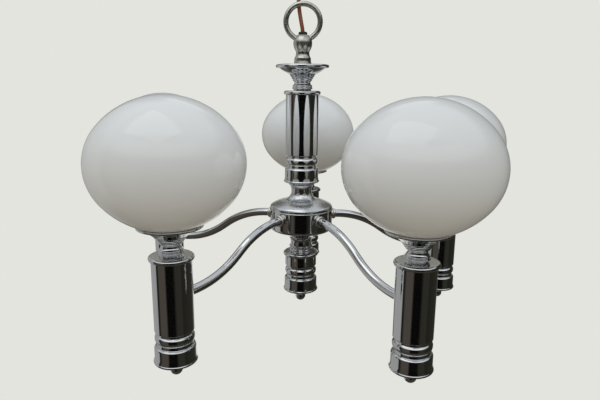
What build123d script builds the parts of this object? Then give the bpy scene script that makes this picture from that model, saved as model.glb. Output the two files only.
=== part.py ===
"""Five-arm chandelier: opal globes on chrome columns, hung from a cast loop.

A threaded tube runs down the middle and clamps the loop, top dish, upper column,
hub and lower column between the loop and a ball finial. Five bent tubes leave the
hub and enter the side of five outer columns, and each column is clamped in the
same way between a ball finial and a lampholder. A glass globe rests on the rim of
each outer column's gallery, centred by three leaf springs, and lifts off upwards.

Millimetres, +Z up. The origin is where a hook bears, on the inner top of the loop.
"""

import os
from math import asin, atan2, cos, pi, radians, sin, sqrt, tan

from build123d import *

os.makedirs("parts", exist_ok=True)

# Arms
arm_count = 5
first_arm_angle = 90.0  # degrees from +X, so one arm points along +Y
arm_reach = 202.0  # chandelier axis to column axis
arm_r = 5.0
arm_bore_r = 3.9
arm_drop = 46.5
arm_slope_share = 0.233  # of the run from hub to column, either side of its middle
arm_bend_share = 0.871  # of half the sloping stretch, taken by each bend
arm_entry_depth = 44.0  # below a column's top plane
arm_hole_clearance = 0.15
collar_r = 6.9
collar_length = 5.0
collar_bead = 3.0
collar_bead_bulge = 0.6
collar_neck_r = 6.0

# Threaded tube, nuts and wires
rod_r = 5.0
rod_bore_r = 3.5
rod_clearance = 0.1
nut_across_flats = 14.0
nut_length = 3.0
nut_overhang = 1.5  # arm tube left beyond its locknut
nut_gap = 0.3
seat_gap = 0.05
cut_margin = 2.5  # where a cut starts, outside a tube
wire_r = 1.1
wire_window_width = 3.6
wire_window_length = 16.0
wire_window_depth = 10.0  # below a column's top plane
wire_offset = 9.5  # riser wire to column axis
wire_entry_drop = 3.8  # below the window's top, where the wire turns up the rod
wire_turn_r = 3.0
wire_sway_r = 8.0

# Columns
tube_r = 20.0
tube_wall = 1.0
tube_roll = 0.8
column_length = 112.0
lower_column_length = 51.8
cap_r = 22.5
cap_thickness = 5.0
spigot_depth = 4.5
spigot_wall = 1.5
spigot_clearance = 0.15
ferrule_length = 34.0
ferrule_cavity_r = 16.0
ferrule_floor = 2.0
ferrule_shoulder = 0.7  # wall under the tube's end
groove_depth = 1.9
groove_slant = 1.2
bead_top_drop = 3.0  # below the tube's end
bead_middle_drop = 7.4
bead_foot_drop = 12.2
bead_upper_bulge = 0.67
bead_lower_bulge = 0.57
band_top_drop = 15.6
band_shoulder = 2.4
band_shoulder_bulge = 0.77
ferrule_band_r = 20.9
ferrule_rim_r = 22.2
ferrule_rim_bead = 3.0
rim_flare = 7.0  # above the ferrule's foot
rim_flare_bulge = 0.16
rim_join_angle = 53.0  # degrees up the rim's bead
finial_ball_r = 6.5
finial_drop = 16.0  # column foot to finial tip
finial_collar_r = 6.2
finial_collar = 2.2
finial_collar_bulge = 0.5
finial_join_angle = 62.0  # degrees down from the ball's top
finial_thread = 5.5

# Gallery dish
dish_height = 30.5
dish_floor_height = 24.2
dish_floor_r = 17.5
dish_wall = 1.4
dish_under_bulge = 0.6
dish_inside_bulge = 0.53
lip_r = 1.3
foot_r = 13.0
foot_bead = 2.6
foot_bead_bulge = 0.6
foot_step = 0.5
cove_bulge = 0.57
neck_r = 9.1
neck_height = 11.5
neck_flare = 1.5
rib_count = 3
rib_first_r = 11.6
rib_last_r = 15.6
rib_top_height = 22.0
rib_undercut = 1.3
rib_bulge = 0.5
rib_edge = 0.5
rib_crest_share = 0.75  # of a rib's height
rib_edge_share = 0.85

# Globe and its springs
globe_r = 74.6
globe_half_height = 64.5
globe_side_r = 54.8  # the oval's tighter arc, round its widest part
globe_wall = 3.0
globe_mouth_r = 26.0
globe_seat_r = 30.4  # where the outside of the globe meets the dish's lip
glass_gap = 0.3
spring_thickness = 0.6
spring_width = 7.0
spring_count = 3
spring_plate_r = 11.5
spring_lap = 2.0
spring_bend_inset = 2.5  # inside the edge of the dish's flat floor
spring_height = 9.5
spring_foot_height = 5.2
spring_tip_rise = 3.0
spring_tip_lean = 2.5

# Lampholder and bulb
holder_r = 13.0
holder_length = 38.0
holder_foot_inset = 1.5
holder_foot_slant = 3.0
holder_base = 12.0
holder_step = 1.2
holder_step_slant = 1.0
holder_top_inset = 0.8
socket_r = 7.25
socket_floor = 12.0
contact_floor = 3.5
skirt_bore_r = 10.2
skirt_depth = 9.0
bulb_contact_r = 2.4
bulb_contact = 1.6
bulb_insulator_r = 3.0
bulb_cap_edge = 1.0
bulb_cap_foot = 4.0
bulb_cap_r = 7.0
bulb_cap_height = 24.0
bulb_neck_r = 8.0
bulb_neck_bulge = 1.0
bulb_neck_angle = 32.0  # degrees up from the envelope's lowest point
bulb_length = 76.0
bulb_r = 22.5

# Hub
drum_r = 39.4
drum_wall = 1.5
drum_height = 19.0  # straight wall
drum_bowl = 7.2  # wall's foot to the bowl's middle
drum_corner_inset = 4.8
drum_corner_drop = 4.6
drum_corner_bulge = 1.34
drum_inner_inset = 4.0
drum_inner_drop = 2.9
bowl_bulge = 0.54
hub_neck_r = 10.4
hub_neck_length = 29.5
hub_neck_flare = 5.0
hub_flare_drop = 2.6
hub_flare_bulge = 1.84
hub_waist_drop = 9.0
hub_waist_bulge = 0.48
hub_foot_inset = 0.9
bell_lip_r = 40.1
bell_lip = 1.2
bell_lip_slant = 0.36
bell_height = 33.6
bell_neck_r = 11.8
bell_neck_drop = 7.9  # below the bell's top
bell_cove_bulge = 0.34
bell_top_r = 14.0
bell_collar = 3.5
bell_collar_bulge = 1.0
bell_skirt_share = 0.72  # of the drum's radius
bell_skirt_rise = 0.285  # of the bell's height
bell_skirt_bulge = 2.0
bell_waist_bulge = 3.98
bell_wall = 1.6
bell_inner_skirt_bulge = 1.53
bell_inner_waist_bulge = 4.55
arm_below_bell = 9.7
block_r = 22.0
block_bore_r = 10.0
block_height = 21.0
block_screw_r = 1.6
block_screw_depth = 7.0
block_margin = 2.0  # flat floor of the drum outside the block

# Loop casting and supply cable
ring_r = 20.3
ring_wire_r = 3.2
ring_above_knob = 23.8
knob_r = 10.9
knob_top = 9.3
knob_foot = 9.8
knob_upper_bulge = 1.25
knob_lower_bulge = 0.99
knob_rim = 0.2
loop_neck_r = 7.3
loop_neck_length = 6.1
loop_neck_bulge = 0.97
loop_neck_edge = 0.6
loop_collar = 4.1
loop_collar_bulge = 0.4
loop_base_r = 9.1
loop_base_length = 15.6
loop_waist_inset = 1.6
loop_waist_slant = 1.0
loop_flange_r = 10.9
loop_flange = 2.5
loop_thread = 12.0
cable_bore_r = 3.9
cable_r = 2.3
bush_r = 5.3
bush_height = 3.2
bush_edge = 1.1
bush_taper = 1.3
bush_insert = 6.0
cable_gap = 0.3
cable_grip = 7.0  # cable inside the bush
cable_bend_share = 0.45  # of the shorter run at each of the route's corners
cable_route = [
    (0.0, 0.0, 0.0),
    (0.0, 0.0, 8.0),
    (-2.3, 1.6, 18.6),
    (-4.9, 5.4, 32.6),
    (-6.2, 9.0, 47.0),
    (-6.0, 11.0, 61.0),
]
terminal_width = 21.0
terminal_depth = 11.0
terminal_height = 17.0
terminal_corner_r = 1.5
terminal_poles = 3
terminal_pitch = 6.8
terminal_screw_r = 1.6
terminal_screw_depth = 6.8

# Heights, from the inner top of the loop downwards
ring_z = ring_wire_r - ring_r
knob_z = ring_z - ring_above_knob
loop_neck_z = knob_z - knob_foot
loop_base_z = loop_neck_z - loop_neck_length
dish_floor_z = loop_base_z - loop_base_length
upper_z = dish_floor_z - dish_floor_height
bell_top_z = upper_z - column_length
bell_z = bell_top_z - bell_height
arm_z = bell_z - arm_below_bell
drum_foot_z = bell_z - bell_lip - drum_height
hub_bowl_z = drum_foot_z - drum_bowl
lower_z = hub_bowl_z - hub_neck_length
arm_end_z = arm_z - arm_drop
outer_z = arm_end_z + arm_entry_depth
bush_z = knob_z + knob_top

# Radii and lengths that follow
rod_hole_r = rod_r + rod_clearance
tube_bore_r = tube_r - tube_wall
spigot_r = tube_bore_r - spigot_clearance
drum_bore_r = drum_r - drum_wall
drum_floor_z = hub_bowl_z + drum_wall
column_tube_end = ferrule_length - column_length
arm_hole_r = arm_r + arm_hole_clearance
spring_floor = dish_floor_height + spring_thickness
rod_top_height = spring_floor + socket_floor - contact_floor
nut_corner_r = nut_across_flats / 2 / cos(radians(30))
bell_spigot = arm_below_bell - nut_across_flats / 2 - nut_gap - bell_lip
bulb_foot = spring_floor + socket_floor
quarter_bulge = 1 - cos(radians(45))  # a quarter circle's, as a share of its radius
arm_angles = [first_arm_angle + arm * 360 / arm_count for arm in range(arm_count)]


def upright(angle, distance, level):
    """The upright plane through the chandelier's axis; its x points outwards and its y up."""
    outward = Vector(1, 0, 0).rotate(Axis.Z, angle)
    origin = outward * distance + Vector(0, 0, level)
    return Plane(origin=origin, x_dir=outward, z_dir=outward.cross(Vector(0, 0, 1)))


def facing(angle, distance, level):
    """A plane square to an arm's direction; its y points up."""
    outward = Vector(1, 0, 0).rotate(Axis.Z, angle)
    origin = outward * distance + Vector(0, 0, level)
    return Plane(origin=origin, x_dir=Vector(0, 0, 1).cross(outward), z_dir=outward)


def turned_plane(plane, angle):
    """An upright plane turned about its own upright line."""
    outward = plane.x_dir.rotate(Axis.Z, angle)
    return Plane(origin=plane.origin, x_dir=outward, z_dir=outward.cross(Vector(0, 0, 1)))


upper_plane = upright(0, 0, upper_z)
lower_plane = upright(0, 0, lower_z)
hub_plane = upright(0, 0, bell_z)
loop_plane = upright(0, 0, knob_z)
outer_planes = [upright(angle, arm_reach, outer_z) for angle in arm_angles]


def save(name, piece):
    """Labels a finished piece and writes its STEP file."""
    piece.part.label = name
    export_step(piece.part, f"parts/{name}.step")


def turned(planes, outline, *sizes):
    """A turned piece, or one for each plane: the outline spun about the plane's y axis."""
    with BuildPart() as piece:
        for plane in planes:
            with BuildSketch(plane):
                with BuildLine():
                    outline(*sizes)
                make_face()
            revolve(axis=Axis(plane.origin, plane.y_dir))
    return piece


# Columns: cap, tube, ferrule and finial


def cap_outline():
    """A flat cap with a full-round rim and a spigot that centres the tube."""
    rim = cap_r - cap_thickness / 2
    spigot_foot = -cap_thickness - spigot_depth
    Line((rod_hole_r, 0), (rim, 0))
    ThreePointArc((rim, 0), (cap_r, -cap_thickness / 2), (rim, -cap_thickness))
    Polyline(
        (rim, -cap_thickness),
        (spigot_r, -cap_thickness),
        (spigot_r, spigot_foot),
        (spigot_r - spigot_wall, spigot_foot),
        (spigot_r - spigot_wall, -cap_thickness),
        (rod_hole_r, -cap_thickness),
        (rod_hole_r, 0),
    )


def tube_outline(end):
    """The column's tube, its lower edge rolled in."""
    Polyline(
        (tube_bore_r, end),
        (tube_bore_r, -cap_thickness),
        (tube_r, -cap_thickness),
        (tube_r, end + tube_roll),
    )
    SagittaArc((tube_r, end + tube_roll), (tube_r - tube_roll, end), tube_roll * quarter_bulge)
    Line((tube_r - tube_roll, end), (tube_bore_r, end))


def ferrule_outline(end):
    """The ferrule below the tube: a groove, a bead, a groove, and a band that flares to the rim."""
    foot = end - ferrule_length
    groove_r = tube_r - groove_depth
    bead_top = end - bead_top_drop
    bead_middle = end - bead_middle_drop
    bead_foot = end - bead_foot_drop
    band_top = end - band_top_drop
    band_full = band_top - band_shoulder
    flare = foot + rim_flare
    rim_r = ferrule_rim_bead / 2
    rim_x = ferrule_rim_r - rim_r
    join_x = rim_x + rim_r * cos(radians(rim_join_angle))
    join_y = foot + rim_r + rim_r * sin(radians(rim_join_angle))
    Polyline(
        (rod_hole_r, foot),
        (rod_hole_r, foot + ferrule_floor),
        (ferrule_cavity_r, foot + ferrule_floor),
        (ferrule_cavity_r, end + spigot_depth),
        (spigot_r, end + spigot_depth),
        (spigot_r, end),
        (tube_bore_r + ferrule_shoulder, end),
        (groove_r, end - groove_slant),
        (groove_r, bead_top),
    )
    SagittaArc((groove_r, bead_top), (tube_r, bead_middle), bead_upper_bulge)
    SagittaArc((tube_r, bead_middle), (groove_r, bead_foot), bead_lower_bulge)
    Line((groove_r, bead_foot), (groove_r, band_top))
    SagittaArc((groove_r, band_top), (ferrule_band_r, band_full), band_shoulder_bulge)
    Line((ferrule_band_r, band_full), (ferrule_band_r, flare))
    SagittaArc((ferrule_band_r, flare), (join_x, join_y), -rim_flare_bulge)
    ThreePointArc((join_x, join_y), (ferrule_rim_r, foot + rim_r), (rim_x, foot))
    Line((rim_x, foot), (rod_hole_r, foot))


def finial_outline(foot):
    """A ball on a short collar, tapped for the threaded tube."""
    ball_y = foot - finial_drop + finial_ball_r
    collar_foot = foot - finial_collar
    join_x = finial_ball_r * sin(radians(finial_join_angle))
    join_y = ball_y + finial_ball_r * cos(radians(finial_join_angle))
    ball_bulge = finial_ball_r * (1 - sin(radians(finial_join_angle / 2)))
    Polyline(
        (0, foot - finial_thread),
        (rod_hole_r, foot - finial_thread),
        (rod_hole_r, foot),
        (finial_collar_r, foot),
    )
    SagittaArc((finial_collar_r, foot), (finial_collar_r, collar_foot), finial_collar_bulge)
    Line((finial_collar_r, collar_foot), (join_x, join_y))
    SagittaArc((join_x, join_y), (0, ball_y - finial_ball_r), ball_bulge)
    Line((0, ball_y - finial_ball_r), (0, foot - finial_thread))


save("column_caps", turned(outer_planes, cap_outline))
save("upper_cap", turned([upper_plane], cap_outline))
save("lower_cap", turned([lower_plane], cap_outline))
save("upper_tube", turned([upper_plane], tube_outline, column_tube_end))
save("upper_ferrule", turned([upper_plane], ferrule_outline, column_tube_end))
lower_tube_end = ferrule_length - lower_column_length
save("lower_tube", turned([lower_plane], tube_outline, lower_tube_end))
save("lower_ferrule", turned([lower_plane], ferrule_outline, lower_tube_end))
save("column_finials", turned(outer_planes, finial_outline, -column_length))
save("centre_finial", turned([lower_plane], finial_outline, -lower_column_length))

for number, angle in enumerate(arm_angles, 1):
    plane = outer_planes[number - 1]
    with BuildPart() as column_tube:
        with BuildSketch(plane):
            with BuildLine():
                tube_outline(column_tube_end)
            make_face()
        revolve(axis=Axis(plane.origin, plane.y_dir))
        with BuildSketch(facing(angle, arm_reach - tube_r - cut_margin, arm_end_z)):
            Circle(arm_hole_r)
        extrude(amount=tube_r, mode=Mode.SUBTRACT)
    save(f"column_tube_{number}", column_tube)
    save(f"column_ferrule_{number}", turned([plane], ferrule_outline, column_tube_end))


# Gallery dishes


def dish_outline():
    """A gallery: a foot, a waisted neck, stepped ribs and a thin dish."""
    lip_y = dish_height - lip_r
    bead_x = foot_r - foot_bead_bulge
    cove_x = bead_x - foot_step
    cove_foot = foot_bead + foot_step
    rib_foot_height = neck_height + neck_flare
    rib_pitch = (rib_top_height - rib_foot_height) / rib_count
    rib_growth = (rib_last_r - rib_first_r) / (rib_count - 1)
    Line((rod_hole_r, 0), (bead_x, 0))
    SagittaArc((bead_x, 0), (bead_x, foot_bead), -foot_bead_bulge)
    Polyline((bead_x, foot_bead), (cove_x, foot_bead), (cove_x, cove_foot))
    SagittaArc((cove_x, cove_foot), (neck_r, neck_height), cove_bulge)
    Line((neck_r, neck_height), (rib_first_r - rib_undercut, rib_foot_height))
    for rib in range(rib_count):
        low = rib_foot_height + rib * rib_pitch
        outer = rib_first_r + rib * rib_growth
        crest = low + rib_pitch * rib_crest_share
        SagittaArc((outer - rib_undercut, low), (outer, crest), -rib_bulge)
        if rib < rib_count - 1:
            Polyline(
                (outer, crest),
                (outer - rib_edge, low + rib_pitch * rib_edge_share),
                (outer + rib_growth - rib_undercut, low + rib_pitch),
            )
    Line((rib_last_r, crest), (rib_last_r, rib_top_height))
    under_lip = (lip_centre_r, lip_y - dish_wall / 2)
    inside_lip = (lip_centre_r, lip_y + dish_wall / 2)
    SagittaArc((rib_last_r, rib_top_height), under_lip, dish_under_bulge)
    Line(under_lip, inside_lip)
    SagittaArc(inside_lip, (dish_floor_r, dish_floor_height), -dish_inside_bulge)
    Polyline((dish_floor_r, dish_floor_height), (rod_hole_r, dish_floor_height), (rod_hole_r, 0))


# The globe is an oval of three arcs: a tight one round its widest part between two
# flatter ones. The centres of the flat arcs lie on the axis, and the dish's lip is on
# a ray from the lower arc's centre through the seat.
side_centre_r = globe_r - globe_side_r
centre_gap = globe_half_height - globe_side_r
cap_centre_offset = (side_centre_r**2 - centre_gap**2) / (2 * centre_gap)
globe_cap_r = globe_half_height + cap_centre_offset
seat_sine = globe_seat_r / globe_cap_r
lip_centre_distance = globe_cap_r + glass_gap + lip_r
lip_centre_r = lip_centre_distance * seat_sine
globe_height = (
    dish_height - lip_r - cap_centre_offset + lip_centre_distance * sqrt(1 - seat_sine**2)
)


def gallery(plane):
    """A gallery or the top dish, spun about its column's axis."""
    with BuildPart() as piece:
        with BuildSketch(plane):
            with BuildLine():
                dish_outline()
            make_face()
            with Locations((lip_centre_r, dish_height - lip_r)):
                Circle(lip_r)
        revolve(axis=Axis(plane.origin, plane.y_dir))
    return piece


save("top_dish", gallery(upper_plane))
for number, plane in enumerate(outer_planes, 1):
    save(f"gallery_{number}", gallery(plane))

# Globes


def globe_side(shrink):
    """One side of the glass, from the mouth to the top; the inner side is shrunk by the wall."""
    cap_radius = globe_cap_r - shrink
    side_radius = globe_side_r - shrink
    lean = atan2(side_centre_r, cap_centre_offset)
    join_x = side_centre_r + side_radius * sin(lean)
    join_y = side_radius * cos(lean)
    low_centre = globe_height + cap_centre_offset
    mouth = (globe_mouth_r, low_centre - sqrt(cap_radius**2 - globe_mouth_r**2))
    middle_angle = (asin(globe_mouth_r / cap_radius) + lean) / 2
    middle = (cap_radius * sin(middle_angle), low_centre - cap_radius * cos(middle_angle))
    low_join = (join_x, globe_height - join_y)
    high_join = (join_x, globe_height + join_y)
    top = (0, globe_height + globe_half_height - shrink)
    high_middle = (
        cap_radius * sin(lean / 2),
        globe_height - cap_centre_offset + cap_radius * cos(lean / 2),
    )
    ThreePointArc(mouth, middle, low_join)
    ThreePointArc(low_join, (side_centre_r + side_radius, globe_height), high_join)
    ThreePointArc(high_join, high_middle, top)
    return mouth, top


for number, plane in enumerate(outer_planes, 1):
    with BuildPart() as globe:
        with BuildSketch(plane):
            with BuildLine():
                outer_mouth, outer_top = globe_side(0)
                inner_mouth, inner_top = globe_side(globe_wall)
                Line(outer_mouth, inner_mouth)
                Line(outer_top, inner_top)
            make_face()
        revolve(axis=Axis(plane.origin, plane.y_dir))
    save(f"globe_{number}", globe)

# Leaf springs that centre each globe's mouth

grip_r = globe_mouth_r - glass_gap - spring_thickness / 2
middle = dish_floor_height + spring_thickness / 2
spring_top = dish_floor_height + spring_height
with BuildPart() as globe_springs:
    for angle, plane in zip(arm_angles, outer_planes):
        with BuildSketch(Plane.XY.offset(outer_z + dish_floor_height)):
            with Locations((plane.origin.X, plane.origin.Y)):
                Circle(spring_plate_r)
                Circle(rod_hole_r, mode=Mode.SUBTRACT)
        extrude(amount=spring_thickness)
        for leaf in range(spring_count):
            leaf_plane = turned_plane(plane, leaf * 360 / spring_count)
            with BuildSketch(leaf_plane):
                with BuildLine():
                    Polyline(
                        (spring_plate_r - spring_lap, middle),
                        (dish_floor_r - spring_bend_inset, middle),
                        (grip_r, dish_floor_height + spring_foot_height),
                        (grip_r, spring_top),
                        (grip_r - spring_tip_lean, spring_top + spring_tip_rise),
                    )
                trace(line_width=spring_thickness)
            extrude(amount=spring_width / 2, both=True)
save("globe_springs", globe_springs)

# Lampholders and bulbs


def holder_outline():
    """An E14 lampholder that screws onto the threaded tube."""
    top = spring_floor + holder_length
    base_top = spring_floor + holder_base
    body_r = holder_r - holder_step
    Polyline(
        (0, rod_top_height),
        (rod_hole_r, rod_top_height),
        (rod_hole_r, spring_floor),
        (holder_r - holder_foot_inset, spring_floor),
        (holder_r, spring_floor + holder_foot_slant),
        (holder_r, base_top),
        (body_r, base_top + holder_step_slant),
        (body_r, top - holder_step_slant),
        (body_r - holder_top_inset, top),
        (skirt_bore_r, top),
        (skirt_bore_r, top - skirt_depth),
        (socket_r, top - skirt_depth),
        (socket_r, bulb_foot),
        (0, bulb_foot),
        (0, rod_top_height),
    )


def bulb_outline():
    """A small-screw golf-ball bulb: a cap with a tip contact, a neck and a round envelope."""
    cap_foot = bulb_foot + bulb_cap_foot
    cap_top = bulb_foot + bulb_cap_height
    ball_y = bulb_foot + bulb_length - bulb_r
    join_x = bulb_r * sin(radians(bulb_neck_angle))
    join_y = ball_y - bulb_r * cos(radians(bulb_neck_angle))
    Polyline(
        (0, bulb_foot),
        (bulb_contact_r, bulb_foot),
        (bulb_insulator_r, bulb_foot + bulb_contact),
        (bulb_cap_r - bulb_cap_edge, cap_foot),
        (bulb_cap_r, cap_foot + bulb_cap_edge),
        (bulb_cap_r, cap_top),
        (bulb_neck_r, cap_top),
    )
    SagittaArc((bulb_neck_r, cap_top), (join_x, join_y), bulb_neck_bulge)
    ThreePointArc((join_x, join_y), (bulb_r, ball_y), (0, ball_y + bulb_r))
    Line((0, ball_y + bulb_r), (0, bulb_foot))


for number, plane in enumerate(outer_planes, 1):
    save(f"lampholder_{number}", turned([plane], holder_outline))
    save(f"bulb_{number}", turned([plane], bulb_outline))

# Hub


def bell_outline():
    """The hub's bell: a collar, a waisted neck and a skirt that ends in a lip on the drum."""
    collar_x = bell_top_r - bell_collar_bulge
    collar_foot = bell_height - bell_collar
    neck_y = bell_height - bell_neck_drop
    skirt_x = drum_r * bell_skirt_share
    skirt_y = bell_height * bell_skirt_rise
    spigot_x = drum_bore_r - spigot_clearance
    inner_x = spigot_x - bell_wall
    inner_neck_r = bell_neck_r - bell_wall
    inner_skirt = (skirt_x - bell_wall, skirt_y - bell_wall)
    spigot_foot = -bell_lip - bell_spigot
    Line((rod_hole_r, bell_height), (collar_x, bell_height))
    SagittaArc((collar_x, bell_height), (collar_x, collar_foot), bell_collar_bulge)
    SagittaArc((collar_x, collar_foot), (bell_neck_r, neck_y), -bell_cove_bulge)
    SagittaArc((bell_neck_r, neck_y), (skirt_x, skirt_y), -bell_waist_bulge)
    SagittaArc((skirt_x, skirt_y), (drum_r, 0), bell_skirt_bulge)
    Polyline(
        (drum_r, 0),
        (bell_lip_r, -bell_lip_slant),
        (bell_lip_r, -bell_lip),
        (spigot_x, -bell_lip),
        (spigot_x, spigot_foot),
        (inner_x, spigot_foot),
        (inner_x, 0),
    )
    SagittaArc((inner_x, 0), inner_skirt, -bell_inner_skirt_bulge)
    SagittaArc(inner_skirt, (inner_neck_r, neck_y), bell_inner_waist_bulge)
    Polyline(
        (inner_neck_r, neck_y),
        (inner_neck_r, collar_foot),
        (rod_hole_r, collar_foot),
        (rod_hole_r, bell_height),
    )


def drum_outline():
    """The hub's drum: a straight wall, a shallow bowl and a neck that stands on the lower column."""
    top = -bell_lip
    wall_foot = top - drum_height
    bowl = wall_foot - drum_bowl
    floor = bowl + drum_wall
    foot_y = bowl - hub_neck_length
    corner = (drum_r - drum_corner_inset, wall_foot - drum_corner_drop)
    flare = (hub_neck_r + hub_neck_flare, bowl - hub_flare_drop)
    waist = (hub_neck_r, bowl - hub_flare_drop - hub_waist_drop)
    bead_x = foot_r - foot_bead_bulge
    bead_top = foot_y + foot_bead
    neck_foot = (foot_r - hub_foot_inset, bead_top + foot_step)
    Polyline((drum_bore_r, top), (drum_r, top), (drum_r, wall_foot))
    SagittaArc((drum_r, wall_foot), corner, drum_corner_bulge)
    SagittaArc(corner, flare, -bowl_bulge)
    SagittaArc(flare, waist, -hub_flare_bulge)
    SagittaArc(waist, neck_foot, -hub_waist_bulge)
    Polyline(neck_foot, (foot_r - hub_foot_inset, bead_top), (bead_x, bead_top))
    SagittaArc((bead_x, bead_top), (bead_x, foot_y), foot_bead_bulge)
    Polyline(
        (bead_x, foot_y),
        (rod_hole_r, foot_y),
        (rod_hole_r, floor),
        (block_r + block_margin, floor),
        (drum_bore_r - drum_inner_inset, wall_foot - drum_inner_drop),
        (drum_bore_r, wall_foot),
        (drum_bore_r, top),
    )


save("hub_bell", turned([hub_plane], bell_outline))

with BuildPart() as hub_drum:
    with BuildSketch(hub_plane):
        with BuildLine():
            drum_outline()
        make_face()
    revolve(axis=Axis.Z)
    for angle in arm_angles:
        with BuildSketch(facing(angle, drum_r / 2, arm_z)):
            Circle(arm_hole_r)
        extrude(amount=drum_r, mode=Mode.SUBTRACT)
save("hub_drum", hub_drum)

with BuildPart() as junction_block:
    with BuildSketch(Plane.XY.offset(drum_floor_z)):
        Circle(block_r)
        Circle(block_bore_r, mode=Mode.SUBTRACT)
    extrude(amount=block_height)
    with BuildSketch(Plane.XY.offset(drum_floor_z + block_height)):
        with PolarLocations((block_r + block_bore_r) / 2, arm_count, start_angle=first_arm_angle):
            Circle(block_screw_r)
    extrude(amount=-block_screw_depth, mode=Mode.SUBTRACT)
save("junction_block", junction_block)

# Arms: bent tubes, collars and locknuts

arm_mid_r = (drum_r + arm_reach - tube_r) / 2
arm_half_run = arm_slope_share * (arm_reach - tube_r - drum_r)
arm_half_slope = sqrt(arm_half_run**2 + (arm_drop / 2) ** 2)
arm_slope = atan2(arm_drop / 2, arm_half_run)
arm_bend_r = arm_bend_share * arm_half_slope / tan(arm_slope / 2)
hub_nut_seat = sqrt(drum_bore_r**2 - nut_corner_r**2) - seat_gap
column_nut_seat = arm_reach - sqrt(tube_bore_r**2 - nut_corner_r**2) + seat_gap
arm_inner_end = hub_nut_seat - nut_length - nut_overhang
arm_outer_end = column_nut_seat + nut_length + nut_overhang


def arm_corners(inner_end, outer_end):
    """The corners of an arm's centreline, as distance from the axis and height."""
    return [
        (inner_end, arm_z),
        (arm_mid_r - arm_half_run, arm_z),
        (arm_mid_r + arm_half_run, arm_end_z),
        (outer_end, arm_end_z),
    ]


for number, angle in enumerate(arm_angles, 1):
    with BuildPart() as arm:
        with BuildLine(upright(angle, 0, 0)) as centreline:
            FilletPolyline(*arm_corners(arm_inner_end, arm_outer_end), radius=arm_bend_r)
        with BuildSketch(facing(angle, arm_inner_end, arm_z)):
            Circle(arm_r)
            Circle(arm_bore_r, mode=Mode.SUBTRACT)
        sweep(path=centreline.wires()[0])
    save(f"arm_{number}", arm)


def collar_outline():
    """A collar on an arm at the hub: a neck against the drum and a round bead."""
    bore = arm_r + arm_hole_clearance
    near = drum_r + seat_gap
    bead_near = near + collar_length - collar_bead
    far = near + collar_length
    edge_r = collar_r - collar_bead_bulge
    Polyline((near, bore), (near, collar_neck_r), (bead_near, collar_neck_r), (bead_near, edge_r))
    SagittaArc((bead_near, edge_r), (far, edge_r), collar_bead_bulge)
    Polyline((far, edge_r), (far, bore), (near, bore))


with BuildPart() as arm_collars:
    for angle in arm_angles:
        plane = upright(angle, 0, arm_z)
        with BuildSketch(plane):
            with BuildLine():
                collar_outline()
            make_face()
        revolve(axis=Axis(plane.origin, plane.x_dir))
save("arm_collars", arm_collars)

with BuildPart() as arm_locknuts:
    for angle in arm_angles:
        for near, level in ((hub_nut_seat - nut_length, arm_z), (column_nut_seat, arm_end_z)):
            with BuildSketch(facing(angle, near, level)):
                RegularPolygon(nut_corner_r, 6)
                Circle(arm_hole_r, mode=Mode.SUBTRACT)
            extrude(amount=nut_length)
save("arm_locknuts", arm_locknuts)

# Threaded tubes and their nuts

window_top = outer_z - wire_window_depth
window_middle = window_top - wire_window_length / 2
window_straight = wire_window_length - wire_window_width
rod_foot = outer_z - column_length - finial_thread
with BuildPart() as column_rods:
    for plane in outer_planes:
        with BuildSketch(Plane.XY.offset(rod_foot)):
            with Locations((plane.origin.X, plane.origin.Y)):
                Circle(rod_r)
                Circle(rod_bore_r, mode=Mode.SUBTRACT)
        extrude(amount=outer_z + rod_top_height - rod_foot)
    for angle in arm_angles:
        with BuildSketch(facing(angle, arm_reach - rod_r - cut_margin, window_middle)):
            SlotCenterToCenter(window_straight, wire_window_width, rotation=90)
        extrude(amount=rod_r, mode=Mode.SUBTRACT)
save("column_rods", column_rods)

centre_rod_foot = lower_z - lower_column_length - finial_thread
centre_rod_top = dish_floor_z + loop_thread
with BuildPart() as centre_rod:
    with BuildSketch(Plane.XY.offset(centre_rod_foot)):
        Circle(rod_r)
        Circle(rod_bore_r, mode=Mode.SUBTRACT)
    extrude(amount=centre_rod_top - centre_rod_foot)
    with BuildSketch(facing(first_arm_angle + 180 / arm_count, -rod_r - cut_margin, arm_z)):
        SlotCenterToCenter(window_straight, wire_window_width, rotation=90)
    extrude(amount=2 * (rod_r + cut_margin), mode=Mode.SUBTRACT)
save("centre_rod", centre_rod)

with BuildPart() as rod_nuts:
    for level in (drum_floor_z, upper_z - cap_thickness - nut_length):
        with BuildSketch(Plane.XY.offset(level)):
            RegularPolygon(nut_corner_r, 6)
            Circle(rod_hole_r, mode=Mode.SUBTRACT)
        extrude(amount=nut_length)
save("rod_nuts", rod_nuts)

# Wires from the junction block through the arms to the lampholders

riser_r = arm_reach - wire_offset
wire_entry = window_top - wire_entry_drop
wire_corners = arm_corners(block_r + seat_gap, riser_r) + [
    (riser_r, wire_entry - wire_offset),
    (arm_reach, wire_entry),
    (arm_reach, outer_z + rod_top_height),
]
wire_bends = [arm_bend_r, arm_bend_r, wire_turn_r, wire_sway_r, wire_sway_r]
with BuildPart() as arm_wires:
    for angle in arm_angles:
        with BuildLine(upright(angle, 0, 0)) as route:
            FilletPolyline(*wire_corners, radius=wire_bends)
        with BuildSketch(facing(angle, block_r + seat_gap, arm_z)):
            Circle(wire_r)
        sweep(path=route.wires()[0])
save("arm_wires", arm_wires)

# Loop casting


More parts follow.
